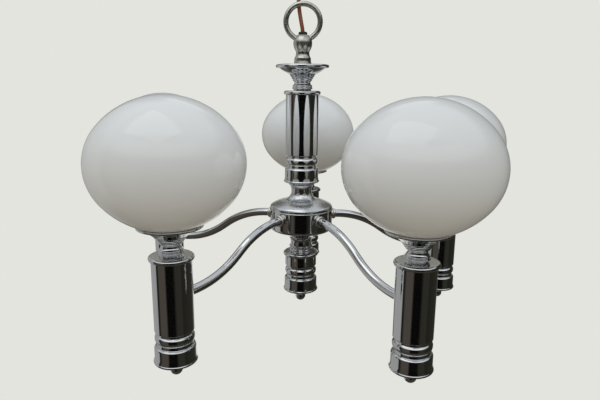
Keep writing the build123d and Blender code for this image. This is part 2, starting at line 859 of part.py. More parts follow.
def loop_outline():
    """The casting's turned part: a base on the top dish, a collar, a neck and an egg-shaped knob."""
    neck_top = -knob_foot
    base_top = neck_top - loop_neck_length
    base_foot = base_top - loop_base_length
    thread_top = base_foot + loop_thread
    collar_foot = base_top - loop_collar
    collar_x = loop_base_r - loop_collar_bulge
    neck_end = neck_top - loop_neck_edge
    knob_foot_r = loop_neck_r + knob_rim
    knob_top_r = bush_r + knob_rim
    Polyline(
        (rod_hole_r, base_foot),
        (loop_flange_r, base_foot),
        (loop_flange_r, base_foot + loop_flange),
        (loop_base_r - loop_waist_inset, collar_foot - loop_waist_slant),
        (collar_x, collar_foot),
    )
    SagittaArc((collar_x, collar_foot), (collar_x, base_top), -loop_collar_bulge)
    SagittaArc((collar_x, base_top), (loop_neck_r, neck_end), loop_neck_bulge)
    Line((loop_neck_r, neck_end), (knob_foot_r, neck_top))
    SagittaArc((knob_foot_r, neck_top), (knob_r, 0), -knob_lower_bulge)
    SagittaArc((knob_r, 0), (knob_top_r, knob_top), -knob_upper_bulge)
    Polyline(
        (knob_top_r, knob_top),
        (cable_bore_r, knob_top),
        (cable_bore_r, thread_top),
        (rod_hole_r, thread_top),
        (rod_hole_r, base_foot),
    )


with BuildPart() as suspension_loop:
    with BuildSketch(Plane.XY.offset(ring_z)):
        with Locations((ring_r, 0)):
            Circle(ring_wire_r)
    revolve(axis=Axis((0, 0, ring_z), (0, 1, 0)))
    with BuildSketch(loop_plane):
        with BuildLine():
            loop_outline()
        make_face()
    revolve(axis=Axis.Z)
    with BuildSketch(Plane.XY.offset(bush_z - knob_top)):
        Circle(cable_bore_r)
    extrude(amount=knob_top, mode=Mode.SUBTRACT)
save("suspension_loop", suspension_loop)

# Supply cable, its bush and the terminal block on its end


def bush_outline():
    """A rubber bush: a sleeve in the knob's bore and a tapered flange on its top."""
    bore = cable_r + cable_gap
    Polyline(
        (bore, -bush_insert),
        (cable_bore_r - seat_gap, -bush_insert),
        (cable_bore_r - seat_gap, 0),
        (bush_r, 0),
        (bush_r, bush_edge),
        (bush_r - bush_taper, bush_height),
        (bore, bush_height),
        (bore, -bush_insert),
    )


save("cable_bush", turned([upright(0, 0, bush_z)], bush_outline))

cable_start_z = bush_z + bush_height - cable_grip
cable_points = [(x, y, cable_start_z + rise) for x, y, rise in cable_route]


def bend_radii(points):
    """A bend radius for each corner, from its turn and the shorter of its two runs."""
    radii = []
    for before, corner, after in zip(points, points[1:], points[2:]):
        arriving = Vector(*corner) - Vector(*before)
        leaving = Vector(*after) - Vector(*corner)
        half_turn = radians(arriving.get_angle(leaving)) / 2
        radii.append(cable_bend_share * min(arriving.length, leaving.length) / tan(half_turn))
    return radii


cable_radii = bend_radii(cable_points)
print("supply cable bends", [round(radius, 1) for radius in cable_radii])
with BuildPart() as supply_cable:
    with BuildLine():
        cable_path = FilletPolyline(*cable_points, radius=cable_radii)
    with BuildSketch(Plane(origin=cable_path @ 0, z_dir=cable_path % 0)):
        Circle(cable_r)
    sweep(path=cable_path)
save("supply_cable", supply_cable)
cable_section = pi * cable_r**2
print("supply cable length", round(cable_path.length, 2))
print("volume over section times length", supply_cable.part.volume / cable_section / cable_path.length)

inner_cable_foot = arm_z + wire_window_length / 2
with BuildPart() as inner_cable:
    with BuildSketch(Plane.XY.offset(inner_cable_foot)):
        Circle(cable_r)
    extrude(amount=cable_start_z - cable_gap - inner_cable_foot)
save("inner_cable", inner_cable)

terminal_plane = Plane(origin=cable_path @ 1, z_dir=cable_path % 1).offset(seat_gap)
with BuildPart() as terminal_block:
    with BuildSketch(terminal_plane):
        RectangleRounded(terminal_width, terminal_depth, terminal_corner_r)
    extrude(amount=terminal_height)
    with BuildSketch(terminal_plane.offset(terminal_height)):
        with GridLocations(terminal_pitch, 1, terminal_poles, 1):
            Circle(terminal_screw_r)
    extrude(amount=-terminal_screw_depth, mode=Mode.SUBTRACT)
save("terminal_block", terminal_block)
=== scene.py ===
"""Five-arm chandelier: its pieces, finishes, camera and studio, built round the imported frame."""

from math import asin, atan2, ceil, cos, hypot, pi, radians, sin, sqrt, tan

import bmesh
import bpy
from mathutils import Matrix, Vector


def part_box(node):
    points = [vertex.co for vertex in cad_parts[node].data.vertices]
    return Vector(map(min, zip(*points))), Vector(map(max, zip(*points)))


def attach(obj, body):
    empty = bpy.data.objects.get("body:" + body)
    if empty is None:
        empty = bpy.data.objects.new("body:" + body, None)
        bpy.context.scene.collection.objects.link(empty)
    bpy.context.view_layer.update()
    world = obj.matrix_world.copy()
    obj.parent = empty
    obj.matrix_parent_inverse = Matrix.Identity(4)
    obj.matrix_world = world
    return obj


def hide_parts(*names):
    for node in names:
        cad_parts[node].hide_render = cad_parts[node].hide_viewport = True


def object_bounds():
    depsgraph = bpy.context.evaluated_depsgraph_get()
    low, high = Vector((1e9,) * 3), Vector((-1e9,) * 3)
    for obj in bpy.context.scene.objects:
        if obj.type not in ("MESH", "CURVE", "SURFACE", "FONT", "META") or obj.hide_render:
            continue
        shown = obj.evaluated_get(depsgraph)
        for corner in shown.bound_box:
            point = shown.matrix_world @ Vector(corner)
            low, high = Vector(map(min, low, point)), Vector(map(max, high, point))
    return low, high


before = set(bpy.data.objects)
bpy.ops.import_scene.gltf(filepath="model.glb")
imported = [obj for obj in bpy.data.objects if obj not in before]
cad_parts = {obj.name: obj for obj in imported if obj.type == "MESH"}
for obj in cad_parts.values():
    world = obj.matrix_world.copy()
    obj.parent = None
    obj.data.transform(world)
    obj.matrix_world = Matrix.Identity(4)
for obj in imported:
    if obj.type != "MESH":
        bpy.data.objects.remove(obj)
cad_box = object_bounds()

bl_info = {
    "name": "Five-Arm Chandelier",
    "version": (1, 0, 0),
    "blender": (4, 5, 0),
    "location": "3D Viewport > Sidebar > Chandelier",
    "description": "Builds a chrome chandelier with opal globes round its CAD frame",
    "category": "Add Mesh",
}

MM = 0.001
ARMS = range(1, 6)
FINE_TURN = radians(7.5)  # one step of an arc on turned metal
BELL_TURN = radians(4)  # on the hub's bell
GLASS_TURN = radians(3)  # on the globes
BULB_TURN = radians(5)  # on the bulbs
ARM_TURN = radians(1.5)  # along an arm's bends
HUB_STEPS = 128  # faces round the hub and the globes
COLUMN_STEPS = 96  # faces round the columns and dishes
ROD_STEPS = 48  # faces round the small turned pieces
HOLDER_STEPS = 72  # faces round a lampholder, half of them raised as its grip
SLIP_FIT = 0.15 * MM  # the gap between pieces that slide together
BUTT_GAP = 0.05 * MM  # the gap between pieces that only touch
ROD_BORE = 5.1 * MM  # radius of the holes that the threaded tubes pass
SAME_PLACE = 1e-7  # vertices this close are one


# Sizes and colours that a user would change


def length(name, description, default):
    """A size, in metres."""
    return bpy.props.FloatProperty(
        name=name, description=description, default=default, min=0, precision=4, unit="LENGTH"
    )


def angle(name, description, degrees):
    """An angle, with its default in degrees."""
    return bpy.props.FloatProperty(
        name=name, description=description, default=radians(degrees), precision=4,
        subtype="ANGLE",
    )


def colour(name, description, *default):
    """A linear colour."""
    return bpy.props.FloatVectorProperty(
        name=name, description=description, default=(*default, 1), size=4, min=0, max=1,
        subtype="COLOR",
    )


def fraction(name, description, default):
    """A number from 0 to 1."""
    return bpy.props.FloatProperty(
        name=name, description=description, default=default, min=0, max=1, subtype="FACTOR"
    )


class ColumnSizes(bpy.types.PropertyGroup):
    """Sizes of a column: its cap, tube, ferrule and finial."""

    tube_radius: length("Tube radius", "Outside radius of the tube", 20 * MM)
    tube_wall: length("Tube wall", "Thickness of the tube", 1 * MM)
    cap_radius: length("Cap radius", "Outside radius of the cap", 22.5 * MM)
    cap_thickness: length("Cap thickness", "Thickness of the cap", 5 * MM)
    spigot_depth: length("Spigot depth", "How far cap and ferrule reach into the tube", 4.5 * MM)
    ferrule_height: length("Ferrule height", "From the tube's foot to the rim", 34 * MM)
    groove_depth: length("Groove depth", "Depth of the grooves round the ferrule", 1.9 * MM)
    band_radius: length("Band radius", "Radius of the ferrule's band", 20.9 * MM)
    rim_radius: length("Rim radius", "Radius of the ferrule's foot", 22.2 * MM)
    rim_bead: length("Rim bead", "Height of the bead round the foot", 3 * MM)
    rod_hole: length("Rod hole", "Radius of the holes for the threaded tube", ROD_BORE)
    ball_radius: length("Ball radius", "Radius of the finial's ball", 6.5 * MM)
    ball_drop: length("Finial height", "From the column's foot to the finial's tip", 16 * MM)


class GallerySizes(bpy.types.PropertyGroup):
    """Sizes of a gallery dish and the springs in it."""

    height: length("Height", "From the foot to the top of the lip", 30.5 * MM)
    floor_height: length("Floor height", "From the foot to the floor of the dish", 24.2 * MM)
    floor_radius: length("Floor radius", "Radius of the dish's flat floor", 17.5 * MM)
    lip_radius: length("Lip radius", "Radius of the rolled lip's section", 1.3 * MM)
    foot_radius: length("Foot radius", "Radius of the foot's bead", 12.4 * MM)
    foot_bead: length("Foot bead", "Height of each bead of the foot", 2.3 * MM)
    neck_radius: length("Neck radius", "Radius of the waist", 9.8 * MM)
    neck_height: length("Neck height", "From the foot to the waist", 9.8 * MM)
    rib_top_height: length("Rib height", "From the foot to the top rib", 18.8 * MM)
    rib_depth: length("Rib depth", "How far each rib stands out", 0.3 * MM)
    fullness: fraction("Fullness", "How far the dish's wall bows outwards", 0.45)
    last_rib: length("Last rib", "Radius of the top rib", 15.6 * MM)
    spring_thickness: length("Spring thickness", "Thickness of a leaf", 0.6 * MM)
    spring_width: length("Spring width", "Width of a leaf", 7 * MM)


class TopDishSizes(bpy.types.PropertyGroup):
    """Sizes of the top dish where it differs from a gallery: a deeper dish on lower ribs."""

    floor_radius: length("Floor radius", "Radius of the dish's flat floor", 21.5 * MM)
    lip_radius: length("Lip radius", "Radius of the rolled lip's section", 2.1 * MM)
    neck_height: length("Neck height", "From the foot to the waist", 9.2 * MM)
    rib_top_height: length("Rib height", "From the foot to the top rib", 19 * MM)
    rib_depth: length("Rib depth", "How far each rib stands out", 0.8 * MM)
    fullness: fraction("Fullness", "How far the dish's wall bows outwards", 0.56)


class GlobeSizes(bpy.types.PropertyGroup):
    """Sizes of a glass globe and the bulb in it."""

    radius: length("Radius", "Half the globe's width", 74.6 * MM)
    half_height: length("Half height", "Half the oval's height", 64.5 * MM)
    side_radius: length("Side radius", "Radius of the oval's sides", 54.8 * MM)
    wall: length("Wall", "Thickness of the glass", 3 * MM)
    mouth_radius: length("Mouth radius", "Radius of the opening", 26 * MM)
    bulb_radius: length("Bulb radius", "Radius of the bulb", 22.5 * MM)
    holder_radius: length("Lampholder radius", "Radius of the lampholder", 13 * MM)


class ArmSizes(bpy.types.PropertyGroup):
    """Sizes of an arm and its collar."""

    radius: length("Radius", "Outside radius of the tube", 5 * MM)
    wall: length("Wall", "Thickness of the tube", 1.1 * MM)
    slope_share: fraction("Slope share", "Half the slope's run, as a share of the span", 0.233)
    bend_share: fraction("Bend share", "How much of the slope the bends take up", 0.871)
    collar_radius: length("Collar radius", "Radius of the collar's bead", 6.9 * MM)
    collar_neck: length("Collar neck", "Radius of the collar's neck", 6 * MM)
    collar_bead: length("Collar bead", "Length of the collar's bead", 3 * MM)


class HubSizes(bpy.types.PropertyGroup):
    """Sizes of the hub's bell and drum."""

    drum_radius: length("Drum radius", "Outside radius of the drum", 39.4 * MM)
    drum_wall: length("Drum wall", "Thickness of the drum", 1.5 * MM)
    drum_height: length("Drum height", "Height of the straight wall", 22 * MM)
    bowl_depth: length("Bowl depth", "From the wall's foot to the bowl's middle", 8 * MM)
    neck_radius: length("Neck radius", "Radius of the neck under the bowl", 12.9 * MM)
    neck_bead: length("Neck bead", "Radius of the beads at the neck's foot", 14.8 * MM)
    bell_lip: length("Bell lip", "Thickness of the bell's lip", 1.2 * MM)
    bell_height: length("Bell height", "From the drum to the upper column", 33.6 * MM)
    bell_neck: length("Bell neck", "Radius of the bell's waist", 12.6 * MM)
    bell_top: length("Bell top", "Radius of the bell's collar", 16.4 * MM)
    bell_wall: length("Bell wall", "Thickness of the bell", 1.6 * MM)


class LoopSizes(bpy.types.PropertyGroup):
    """Sizes of the suspension loop, the cable and its bush."""

    ring_radius: length("Ring radius", "Radius of the ring's centreline", 20.3 * MM)
    wire_radius: length("Ring section", "Radius of the ring's section", 3.2 * MM)
    knob_radius: length("Knob radius", "Radius of the egg-shaped knob", 11.3 * MM)
    neck_radius: length("Neck radius", "Radius of the neck under the knob", 8.1 * MM)
    base_radius: length("Base radius", "Radius of the collar on the base", 10 * MM)
    cable_radius: length("Cable radius", "Radius of the supply cable", 2.3 * MM)
    bush_radius: length("Bush radius", "Radius of the bush's flange", 5.3 * MM)


class Finishes(bpy.types.PropertyGroup):
    """Colours and gloss of the materials."""

    chrome: colour("Chrome", "Colour of the chrome plate", 0.76, 0.77, 0.78)
    chrome_roughness: fraction("Chrome roughness", "Roughness of polished chrome", 0.035)
    nickel: colour("Cast nickel", "Colour of the loop casting", 0.66, 0.66, 0.59)
    opal: colour("Opal glass", "Colour of the globes", 0.80, 0.81, 0.79)
    cable: colour("Cable", "Colour of the supply cable", 0.20, 0.042, 0.014)
    rubber: colour("Rubber", "Colour of the cable's bush", 0.020, 0.019, 0.018)
    plastic: colour("Lampholder", "Colour of the lampholders", 0.70, 0.69, 0.64)


class Studio(bpy.types.PropertyGroup):
    """Background, light and camera."""

    backdrop: colour("Backdrop", "Colour of floor and backdrop", 0.768, 0.776, 0.730)
    sky: colour("Light from above", "Colour of the light from above", 0.735, 0.775, 0.812)
    ground: colour("Light from below", "Colour of the light from below", 0.330, 0.262, 0.150)
    floor_tone: colour("Floor", "Colour of the floor itself", 0.06, 0.048, 0.03)
    ceiling: colour("Ceiling", "What polished metal sees overhead", 0.58, 0.62, 0.66)
    window: colour("Window", "What polished metal sees above the camera", 0.96, 0.98, 1.0)
    upper_dusk: colour("Upper dusk", "What metal sees high over the camera", 0.28, 0.29, 0.30)
    dark_floor: colour("Dark floor", "What polished metal sees below", 0.05, 0.045, 0.038)
    floor_drop: length("Floor drop", "From the object's foot to the floor", 1.2)
    floor_radius: length("Floor radius", "Radius of the floor", 1.0)
    lens: bpy.props.FloatProperty(
        name="Lens", description="Focal length for a 36 mm sensor", default=30.49, min=1
    )
    distance: length("Camera distance", "From the chandelier's axis to the camera", 631 * MM)
    camera_level: length("Camera drop", "From the hook down to the camera", 97.5 * MM)
    camera_turn: angle("Camera turn", "The camera's place round the axis", 2.7)
    aim: angle("Aim", "How far the camera turns off the axis", 0.155)
    tilt: angle("Tilt", "How far the camera looks down", 12.06)
    roll: angle("Roll", "How far the camera leans", 0.5)


# Drawing and turning outlines


def parts_of(made, kind):
    """The vertices or the edges in what an operator made."""
    return [part for part in made if isinstance(part, kind)]


def rim_of(circle):
    """The edges of a circle made by an operator."""
    return list({edge for point in circle["verts"] for edge in point.link_edges})


def arc_centre(start, middle, end):
    """The centre of the circle through three points of the XZ plane."""
    across, along = middle - start, end - start
    twice_area = 2 * (across.x * along.z - across.z * along.x)
    x = (along.z * across.length_squared - across.z * along.length_squared) / twice_area
    z = (across.x * along.length_squared - along.x * across.length_squared) / twice_area
    return start + Vector((x, 0, z))


def arc_turn(start, middle, end, centre):
    """The turn about +Y from an arc's start to its end, through its middle."""
    angles = [atan2(point.z - centre.z, point.x - centre.x) for point in (start, middle, end)]
    to_middle = (angles[1] - angles[0]) % (2 * pi)
    to_end = (angles[2] - angles[0]) % (2 * pi)
    return -to_end if to_middle < to_end else 2 * pi - to_end


def draw_arc(bm, tip, middle, end, finest):
    """Spins an outline's last point to an arc's end, through its middle."""
    centre = arc_centre(tip.co, middle, end)
    turn = arc_turn(tip.co, middle, end, centre)
    spun = bmesh.ops.spin(
        bm, geom=[tip], cent=centre, axis=(0, 1, 0), angle=turn,
        steps=max(2, ceil(abs(turn) / finest)), use_merge=False, use_duplicate=False,
    )
    tip = parts_of(spun["geom_last"], bmesh.types.BMVert)[0]
    tip.co = end
    return tip


def draw_outline(outline, soften=0.25 * MM, finest=FINE_TURN):
    """A bmesh with an outline in the XZ plane: two numbers are the end of a straight run, and four
    are the middle and end of an arc. It closes unless it starts and ends on the axis, and its
    sharp corners are softened."""
    bm = bmesh.new()
    first = tip = bm.verts.new((outline[0][0], 0, outline[0][1]))
    for run in outline[1:]:
        end = Vector((run[-2], 0, run[-1]))
        if len(run) == 2:
            tip = bmesh.ops.extrude_vert_indiv(bm, verts=[tip])["verts"][0]
            tip.co = end
        else:
            tip = draw_arc(bm, tip, Vector((run[0], 0, run[1])), end, finest)
    if first.co.x > 0 or tip.co.x > 0:
        bmesh.ops.contextual_create(bm, geom=[tip, first])
    soften_corners(bm, soften)
    return bm


def soften_corners(bm, soften):
    """Rounds an outline's sharp corners."""
    blunt = radians(150)
    corners = []
    for point in bm.verts:
        if len(point.link_edges) == 2:
            near, far = (edge.other_vert(point).co - point.co for edge in point.link_edges)
            if near.angle(far) < blunt:
                corners.append(point)
    if corners and soften:
        bmesh.ops.bevel(
            bm, geom=corners, offset=soften, segments=3, profile=0.5, affect="VERTICES",
            clamp_overlap=True, material=-1,
        )


def spin_round(bm, steps=COLUMN_STEPS):
    """Spins an outline about the upright axis into a closed piece."""
    bmesh.ops.spin(
        bm, geom=bm.verts[:] + bm.edges[:], cent=(0, 0, 0), axis=(0, 0, 1), angle=2 * pi,
        steps=steps, use_merge=True, use_duplicate=False,
    )
    close_poles(bm)
    return bm


def close_poles(bm):
    """Merges the vertices that meet on the axis, and turns the faces outwards."""
    bmesh.ops.remove_doubles(bm, verts=bm.verts, dist=SAME_PLACE)
    bmesh.ops.dissolve_degenerate(bm, edges=bm.edges, dist=SAME_PLACE / 10)
    bmesh.ops.recalc_face_normals(bm, faces=bm.faces)


def at_places(pattern, places):
    """A bmesh with a copy of a bmesh at each place."""
    mesh = bpy.data.meshes.new("pattern")
    pattern.to_mesh(mesh)
    pattern.free()
    copies = bmesh.new()
    for place in places:
        made = len(copies.verts)
        copies.from_mesh(mesh)
        copies.verts.ensure_lookup_table()
        bmesh.ops.transform(copies, matrix=place, verts=copies.verts[made:])
    bpy.data.meshes.remove(mesh)
    return copies


def turned(outline, steps=COLUMN_STEPS, places=(), **drawing):
    """An outline spun round on the chandelier's own axis, or at each of the places."""
    pattern = spin_round(draw_outline(outline, **drawing), steps)
    return at_places(pattern, places) if places else pattern


def in_scene(name, data):
    """A new object in the scene."""
    made = bpy.data.objects.new(name, data)
    bpy.context.scene.collection.objects.link(made)
    return made


def mesh_of(name, bm, finish):
    """A mesh with a finish, made from a bmesh."""
    mesh = bpy.data.meshes.new(name)
    bm.to_mesh(mesh)
    bm.free()
    mesh.materials.append(finish)
    return mesh


def finished(name, bm, finish, slot, nodes=(), body="frame", even=True):
    """A piece made from a bmesh, which rides on a body and stands for its CAD nodes."""
    mesh = mesh_of(name, bm, finish)
    mesh.shade_smooth()
    piece = in_scene(name, mesh)
    if even:
        shading = piece.modifiers.new("Even shading", "WEIGHTED_NORMAL")
        shading.keep_sharp = True
    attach(piece, body)
    if nodes:
        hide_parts(*nodes)
    return piece


def chromed(name, bm, *nodes, **choices):
    """A finished piece of polished chrome."""
    return finished(name, bm, chrome(), "chrome", nodes, **choices)


def axis_of(node):
    """Where the upright axis of a round CAD node stands."""
    low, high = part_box(node)
    return (low.x + high.x) / 2, (low.y + high.y) / 2


def at_axis(node):
    """The move from the origin to a round CAD node's axis."""
    x, y = axis_of(node)
    return Matrix.Translation((x, y, 0))


def arm_angle(number):
    """The direction of an arm's column, about the upright axis."""
    x, y = axis_of(f"column_tube_{number}")
    return atan2(y, x)


def column_top(tube_node):
    """The level of a column's top plane."""
    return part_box(tube_node)[1].z + bpy.context.scene.chandelier_columns.cap_thickness


# Materials


def add_node(tree, kind, sockets=None, **settings):
    """A node with its settings, and its sockets given values or linked to other nodes' outputs."""
    added = tree.nodes.new(kind)
    for name, value in settings.items():
        setattr(added, name, value)
    for name, value in (sockets or {}).items():
        if isinstance(value, bpy.types.NodeSocket):
            tree.links.new(value, added.inputs[name])
        else:
            added.inputs[name].default_value = value
    return added


def calculate(tree, operation, *values, clamp=False):
    """The result of a sum on numbers or sockets."""
    node = add_node(
        tree, "ShaderNodeMath", dict(enumerate(values)), operation=operation, use_clamp=clamp
    )
    return node.outputs[0]


def map_range(tree, value, low, high, result_low=0.0, result_high=1.0, smooth=False):
    """A number moved from one range to another, and held in it."""
    sockets = {
        "Value": value, "From Min": low, "From Max": high,
        "To Min": result_low, "To Max": result_high,
    }
    shape = "SMOOTHSTEP" if smooth else "LINEAR"
    node = add_node(tree, "ShaderNodeMapRange", sockets, interpolation_type=shape)
    return node.outputs["Result"]


def mix_colours(tree, share, first, second):
    """Two colours mixed by the second one's share."""
    node = add_node(tree, "ShaderNodeMix", {0: share, 6: first, 7: second}, data_type="RGBA")
    return node.outputs[2]


def noise(tree, place, scale, detail, **sockets):
    """A noise from 0 to 1 at a place."""
    given = {"Vector": place, "Scale": scale, "Detail": detail, **sockets}
    return add_node(tree, "ShaderNodeTexNoise", given).outputs["Fac"]


def new_group(name, inputs, outputs):
    """A shader node group with number or colour sockets, and its two end nodes."""
    group = bpy.data.node_groups.new(name, "ShaderNodeTree")
    for socket_name, value in inputs.items():
        kind = "NodeSocketFloat" if isinstance(value, float) else "NodeSocketColor"
        made = group.interface.new_socket(socket_name, in_out="INPUT", socket_type=kind)
        made.default_value = value
    for socket_name, kind in outputs.items():
        group.interface.new_socket(socket_name, in_out="OUTPUT", socket_type=kind)
    return group, group.nodes.new("NodeGroupInput"), group.nodes.new("NodeGroupOutput")


def handling_marks():
    """Patches of finger grease and fine hairline scratches: a roughness and a height."""
    if "Handling marks" in bpy.data.node_groups:
        return bpy.data.node_groups["Handling marks"]
    group, given, result = new_group(
        "Handling marks",
        {"Smoothest": 0.03, "Roughest": 0.09, "Patch scale": 45.0, "Grain scale": 900.0},
        {"Roughness": "NodeSocketFloat", "Height": "NodeSocketFloat"},
    )
    place = add_node(group, "ShaderNodeTexCoord").outputs["Object"]
    patches = noise(group, place, given.outputs["Patch scale"], 4.0)
    grain = noise(group, place, given.outputs["Grain scale"], 2.0)
    roughness = map_range(
        group, calculate(group, "MULTIPLY", patches, grain), 0.14, 0.42,
        given.outputs["Smoothest"], given.outputs["Roughest"],
    )
    group.links.new(roughness, result.inputs["Roughness"])
    group.links.new(grain, result.inputs["Height"])
    return group


def settled_dust():
    """A thin film of dust on the faces that look up: a colour and a mask."""
    if "Settled dust" in bpy.data.node_groups:
        return bpy.data.node_groups["Settled dust"]
    group, given, result = new_group(
        "Settled dust",
        {
            "Colour": (0.8, 0.8, 0.8, 1.0), "Dust": (0.46, 0.43, 0.38, 1.0), "Amount": 0.1,
        },
        {"Colour": "NodeSocketColor", "Mask": "NodeSocketFloat"},
    )
    place = add_node(group, "ShaderNodeTexCoord")
    facing = add_node(group, "ShaderNodeSeparateXYZ", {"Vector": place.outputs["Normal"]})
    upwards = map_range(group, facing.outputs["Z"], 0.55, 1.0)
    clumps = noise(group, place.outputs["Object"], 320.0, 6.0, Roughness=0.7)
    mask = calculate(group, "MULTIPLY", upwards, clumps)
    amount = calculate(group, "MULTIPLY", mask, given.outputs["Amount"], clamp=True)
    dusty = mix_colours(group, amount, given.outputs["Colour"], given.outputs["Dust"])
    group.links.new(dusty, result.inputs["Colour"])
    group.links.new(amount, result.inputs["Mask"])
    return group


def mottled():
    """A colour that drifts between two tones."""
    if "Mottled colour" in bpy.data.node_groups:
        return bpy.data.node_groups["Mottled colour"]
    group, given, result = new_group(
        "Mottled colour",
        {
            "Colour": (0.8, 0.8, 0.8, 1.0), "Second colour": (0.7, 0.7, 0.7, 1.0),
            "Scale": 60.0, "Contrast": 0.5,
        },
        {"Colour": "NodeSocketColor"},
    )
    place = add_node(group, "ShaderNodeTexCoord").outputs["Object"]
    drift = noise(group, place, given.outputs["Scale"], 5.0)
    share = calculate(group, "MULTIPLY", drift, given.outputs["Contrast"], clamp=True)
    tone = mix_colours(group, share, given.outputs["Colour"], given.outputs["Second colour"])
    group.links.new(tone, result.inputs["Colour"])
    return group


def surface(
    name, tone, second_tone, smoothest, roughest, metal=0.0, bump=0.05 * MM, dust=0.1,
    tone_scale=60.0, contrast=0.5, patch_scale=45.0, grain_scale=900.0, **shader
):
    """A material from the shared groups: two tones, handling marks, fine bumps and dust."""
    if name in bpy.data.materials:
        return bpy.data.materials[name]
    material = bpy.data.materials.new(name)
    material.use_nodes = True
    tree = material.node_tree
    principled = tree.nodes["Principled BSDF"]
    tones = add_node(
        tree, "ShaderNodeGroup",
        {"Colour": tone, "Second colour": second_tone, "Scale": tone_scale, "Contrast": contrast},
        node_tree=mottled(),
    )
    marks = add_node(
        tree, "ShaderNodeGroup",
        {
            "Smoothest": smoothest, "Roughest": roughest, "Patch scale": patch_scale,
            "Grain scale": grain_scale,
        },
        node_tree=handling_marks(),
    )
    film = add_node(
        tree, "ShaderNodeGroup", {"Colour": tones.outputs["Colour"], "Amount": dust},
        node_tree=settled_dust(),
    )
    relief = add_node(
        tree, "ShaderNodeBump",
        {"Height": marks.outputs["Height"], "Strength": 0.5, "Distance": bump},
    )
    roughness = calculate(
        tree, "ADD", marks.outputs["Roughness"], film.outputs["Mask"], clamp=True
    )
    tree.links.new(film.outputs["Colour"], principled.inputs["Base Color"])
    tree.links.new(roughness, principled.inputs["Roughness"])
    tree.links.new(relief.outputs["Normal"], principled.inputs["Normal"])
    if metal:
        bare = calculate(tree, "SUBTRACT", metal, film.outputs["Mask"], clamp=True)
        tree.links.new(bare, principled.inputs["Metallic"])
    for socket_name, value in shader.items():
        principled.inputs[socket_name.replace("_", " ")].default_value = value
    return material


def shade(tone, factor):
    """A colour made lighter or darker."""
    return (*(min(1.0, channel * factor) for channel in tone[:3]), 1.0)


def chrome():
    """Polished chrome plate with faint smears."""
    colours = bpy.context.scene.chandelier_finishes
    smooth = colours.chrome_roughness
    return surface(
        "polished_chrome", colours.chrome, shade(colours.chrome, 0.86), smooth, smooth * 2.4,
        metal=1.0, bump=0.004 * MM, dust=0.05,
    )


def satin_chrome():
    """Chrome plate over a spun bell, with a softer shine."""
    colours = bpy.context.scene.chandelier_finishes
    return surface(
        "spun_chrome", colours.chrome, shade(colours.chrome, 0.82), 0.18, 0.28, metal=1.0,
        bump=0.010 * MM, dust=0.08, tone_scale=90.0,
    )


def bright_collar():
    """The collars' pale satin plate."""
    return surface(
        "satin_plate", (0.93, 0.91, 0.86, 1), (0.84, 0.82, 0.77, 1), 0.30, 0.42, metal=1.0,
        bump=0.006 * MM, dust=0.1, tone_scale=200.0,
    )


def cast_nickel():
    """Nickel-plated casting, duller than the turned pieces."""
    colours = bpy.context.scene.chandelier_finishes
    return surface(
        "cast_nickel", colours.nickel, shade(colours.nickel, 0.6), 0.24, 0.42, metal=1.0,
        bump=0.06 * MM, dust=0.2, tone_scale=160.0, contrast=0.8, grain_scale=420.0,
    )


def opal_glass():
    """Glossy blown opal glass, faintly cloudy."""
    colours = bpy.context.scene.chandelier_finishes
    return surface(
        "opal_glass", colours.opal, shade(colours.opal, 0.95), 0.05, 0.10, bump=0.004 * MM,
        dust=0.10, tone_scale=18.0, contrast=0.6, patch_scale=20.0, Coat_Weight=0.4,
        Coat_Roughness=0.03, IOR=1.5,
    )


def frosted_bulb():
    """The bulbs' frosted envelopes."""
    return surface(
        "frosted_bulb", (0.80, 0.80, 0.78, 1), (0.74, 0.74, 0.72, 1), 0.30, 0.42, bump=0.01 * MM,
        dust=0.12,
    )


def zinc_steel():
    """Zinc-plated steel of the threaded tubes, nuts and screws."""
    return surface(
        "zinc_steel", (0.56, 0.57, 0.55, 1), (0.42, 0.43, 0.40, 1), 0.28, 0.42, metal=1.0,
        bump=0.02 * MM, dust=0.2, tone_scale=220.0, contrast=0.8,
    )


def spring_steel():
    """Blued spring leaves."""
    return surface(
        "spring_steel", (0.44, 0.44, 0.45, 1), (0.30, 0.31, 0.34, 1), 0.20, 0.34, metal=1.0,
        bump=0.01 * MM, dust=0.15, tone_scale=140.0, contrast=0.8,
    )


def holder_plastic():
    """The lampholders' moulded plastic."""
    colours = bpy.context.scene.chandelier_finishes
    return surface(
        "holder_plastic", colours.plastic, shade(colours.plastic, 0.9), 0.34, 0.48,
        bump=0.03 * MM, dust=0.2,
    )


def porcelain():
    """The junction block's glazed porcelain."""
    return surface(
        "porcelain", (0.78, 0.77, 0.72, 1), (0.72, 0.70, 0.64, 1), 0.12, 0.24, bump=0.02 * MM,
    )


def wire_insulation():
    """The insulation of the wires in the arms."""
    return surface(
        "wire_insulation", (0.66, 0.65, 0.60, 1), (0.56, 0.55, 0.50, 1), 0.38, 0.50,
        bump=0.02 * MM,
    )


def brown_cable():
    """The supply cable's red-brown sheath."""
    colours = bpy.context.scene.chandelier_finishes
    return surface(
        "brown_cable", colours.cable, shade(colours.cable, 0.66), 0.30, 0.46, bump=0.04 * MM,
        dust=0.08, tone_scale=140.0, contrast=0.9,
    )


def black_rubber():
    """The cable bush's rubber."""
    colours = bpy.context.scene.chandelier_finishes
    return surface(
        "black_rubber", colours.rubber, shade(colours.rubber, 1.8), 0.45, 0.62, bump=0.05 * MM,
        dust=0.12,
    )


def white_nylon():
    """The terminal block's moulded nylon."""
    return surface(
        "white_nylon", (0.74, 0.73, 0.68, 1), (0.66, 0.65, 0.60, 1), 0.36, 0.50, bump=0.03 * MM,
        dust=0.15,
    )


# The studio


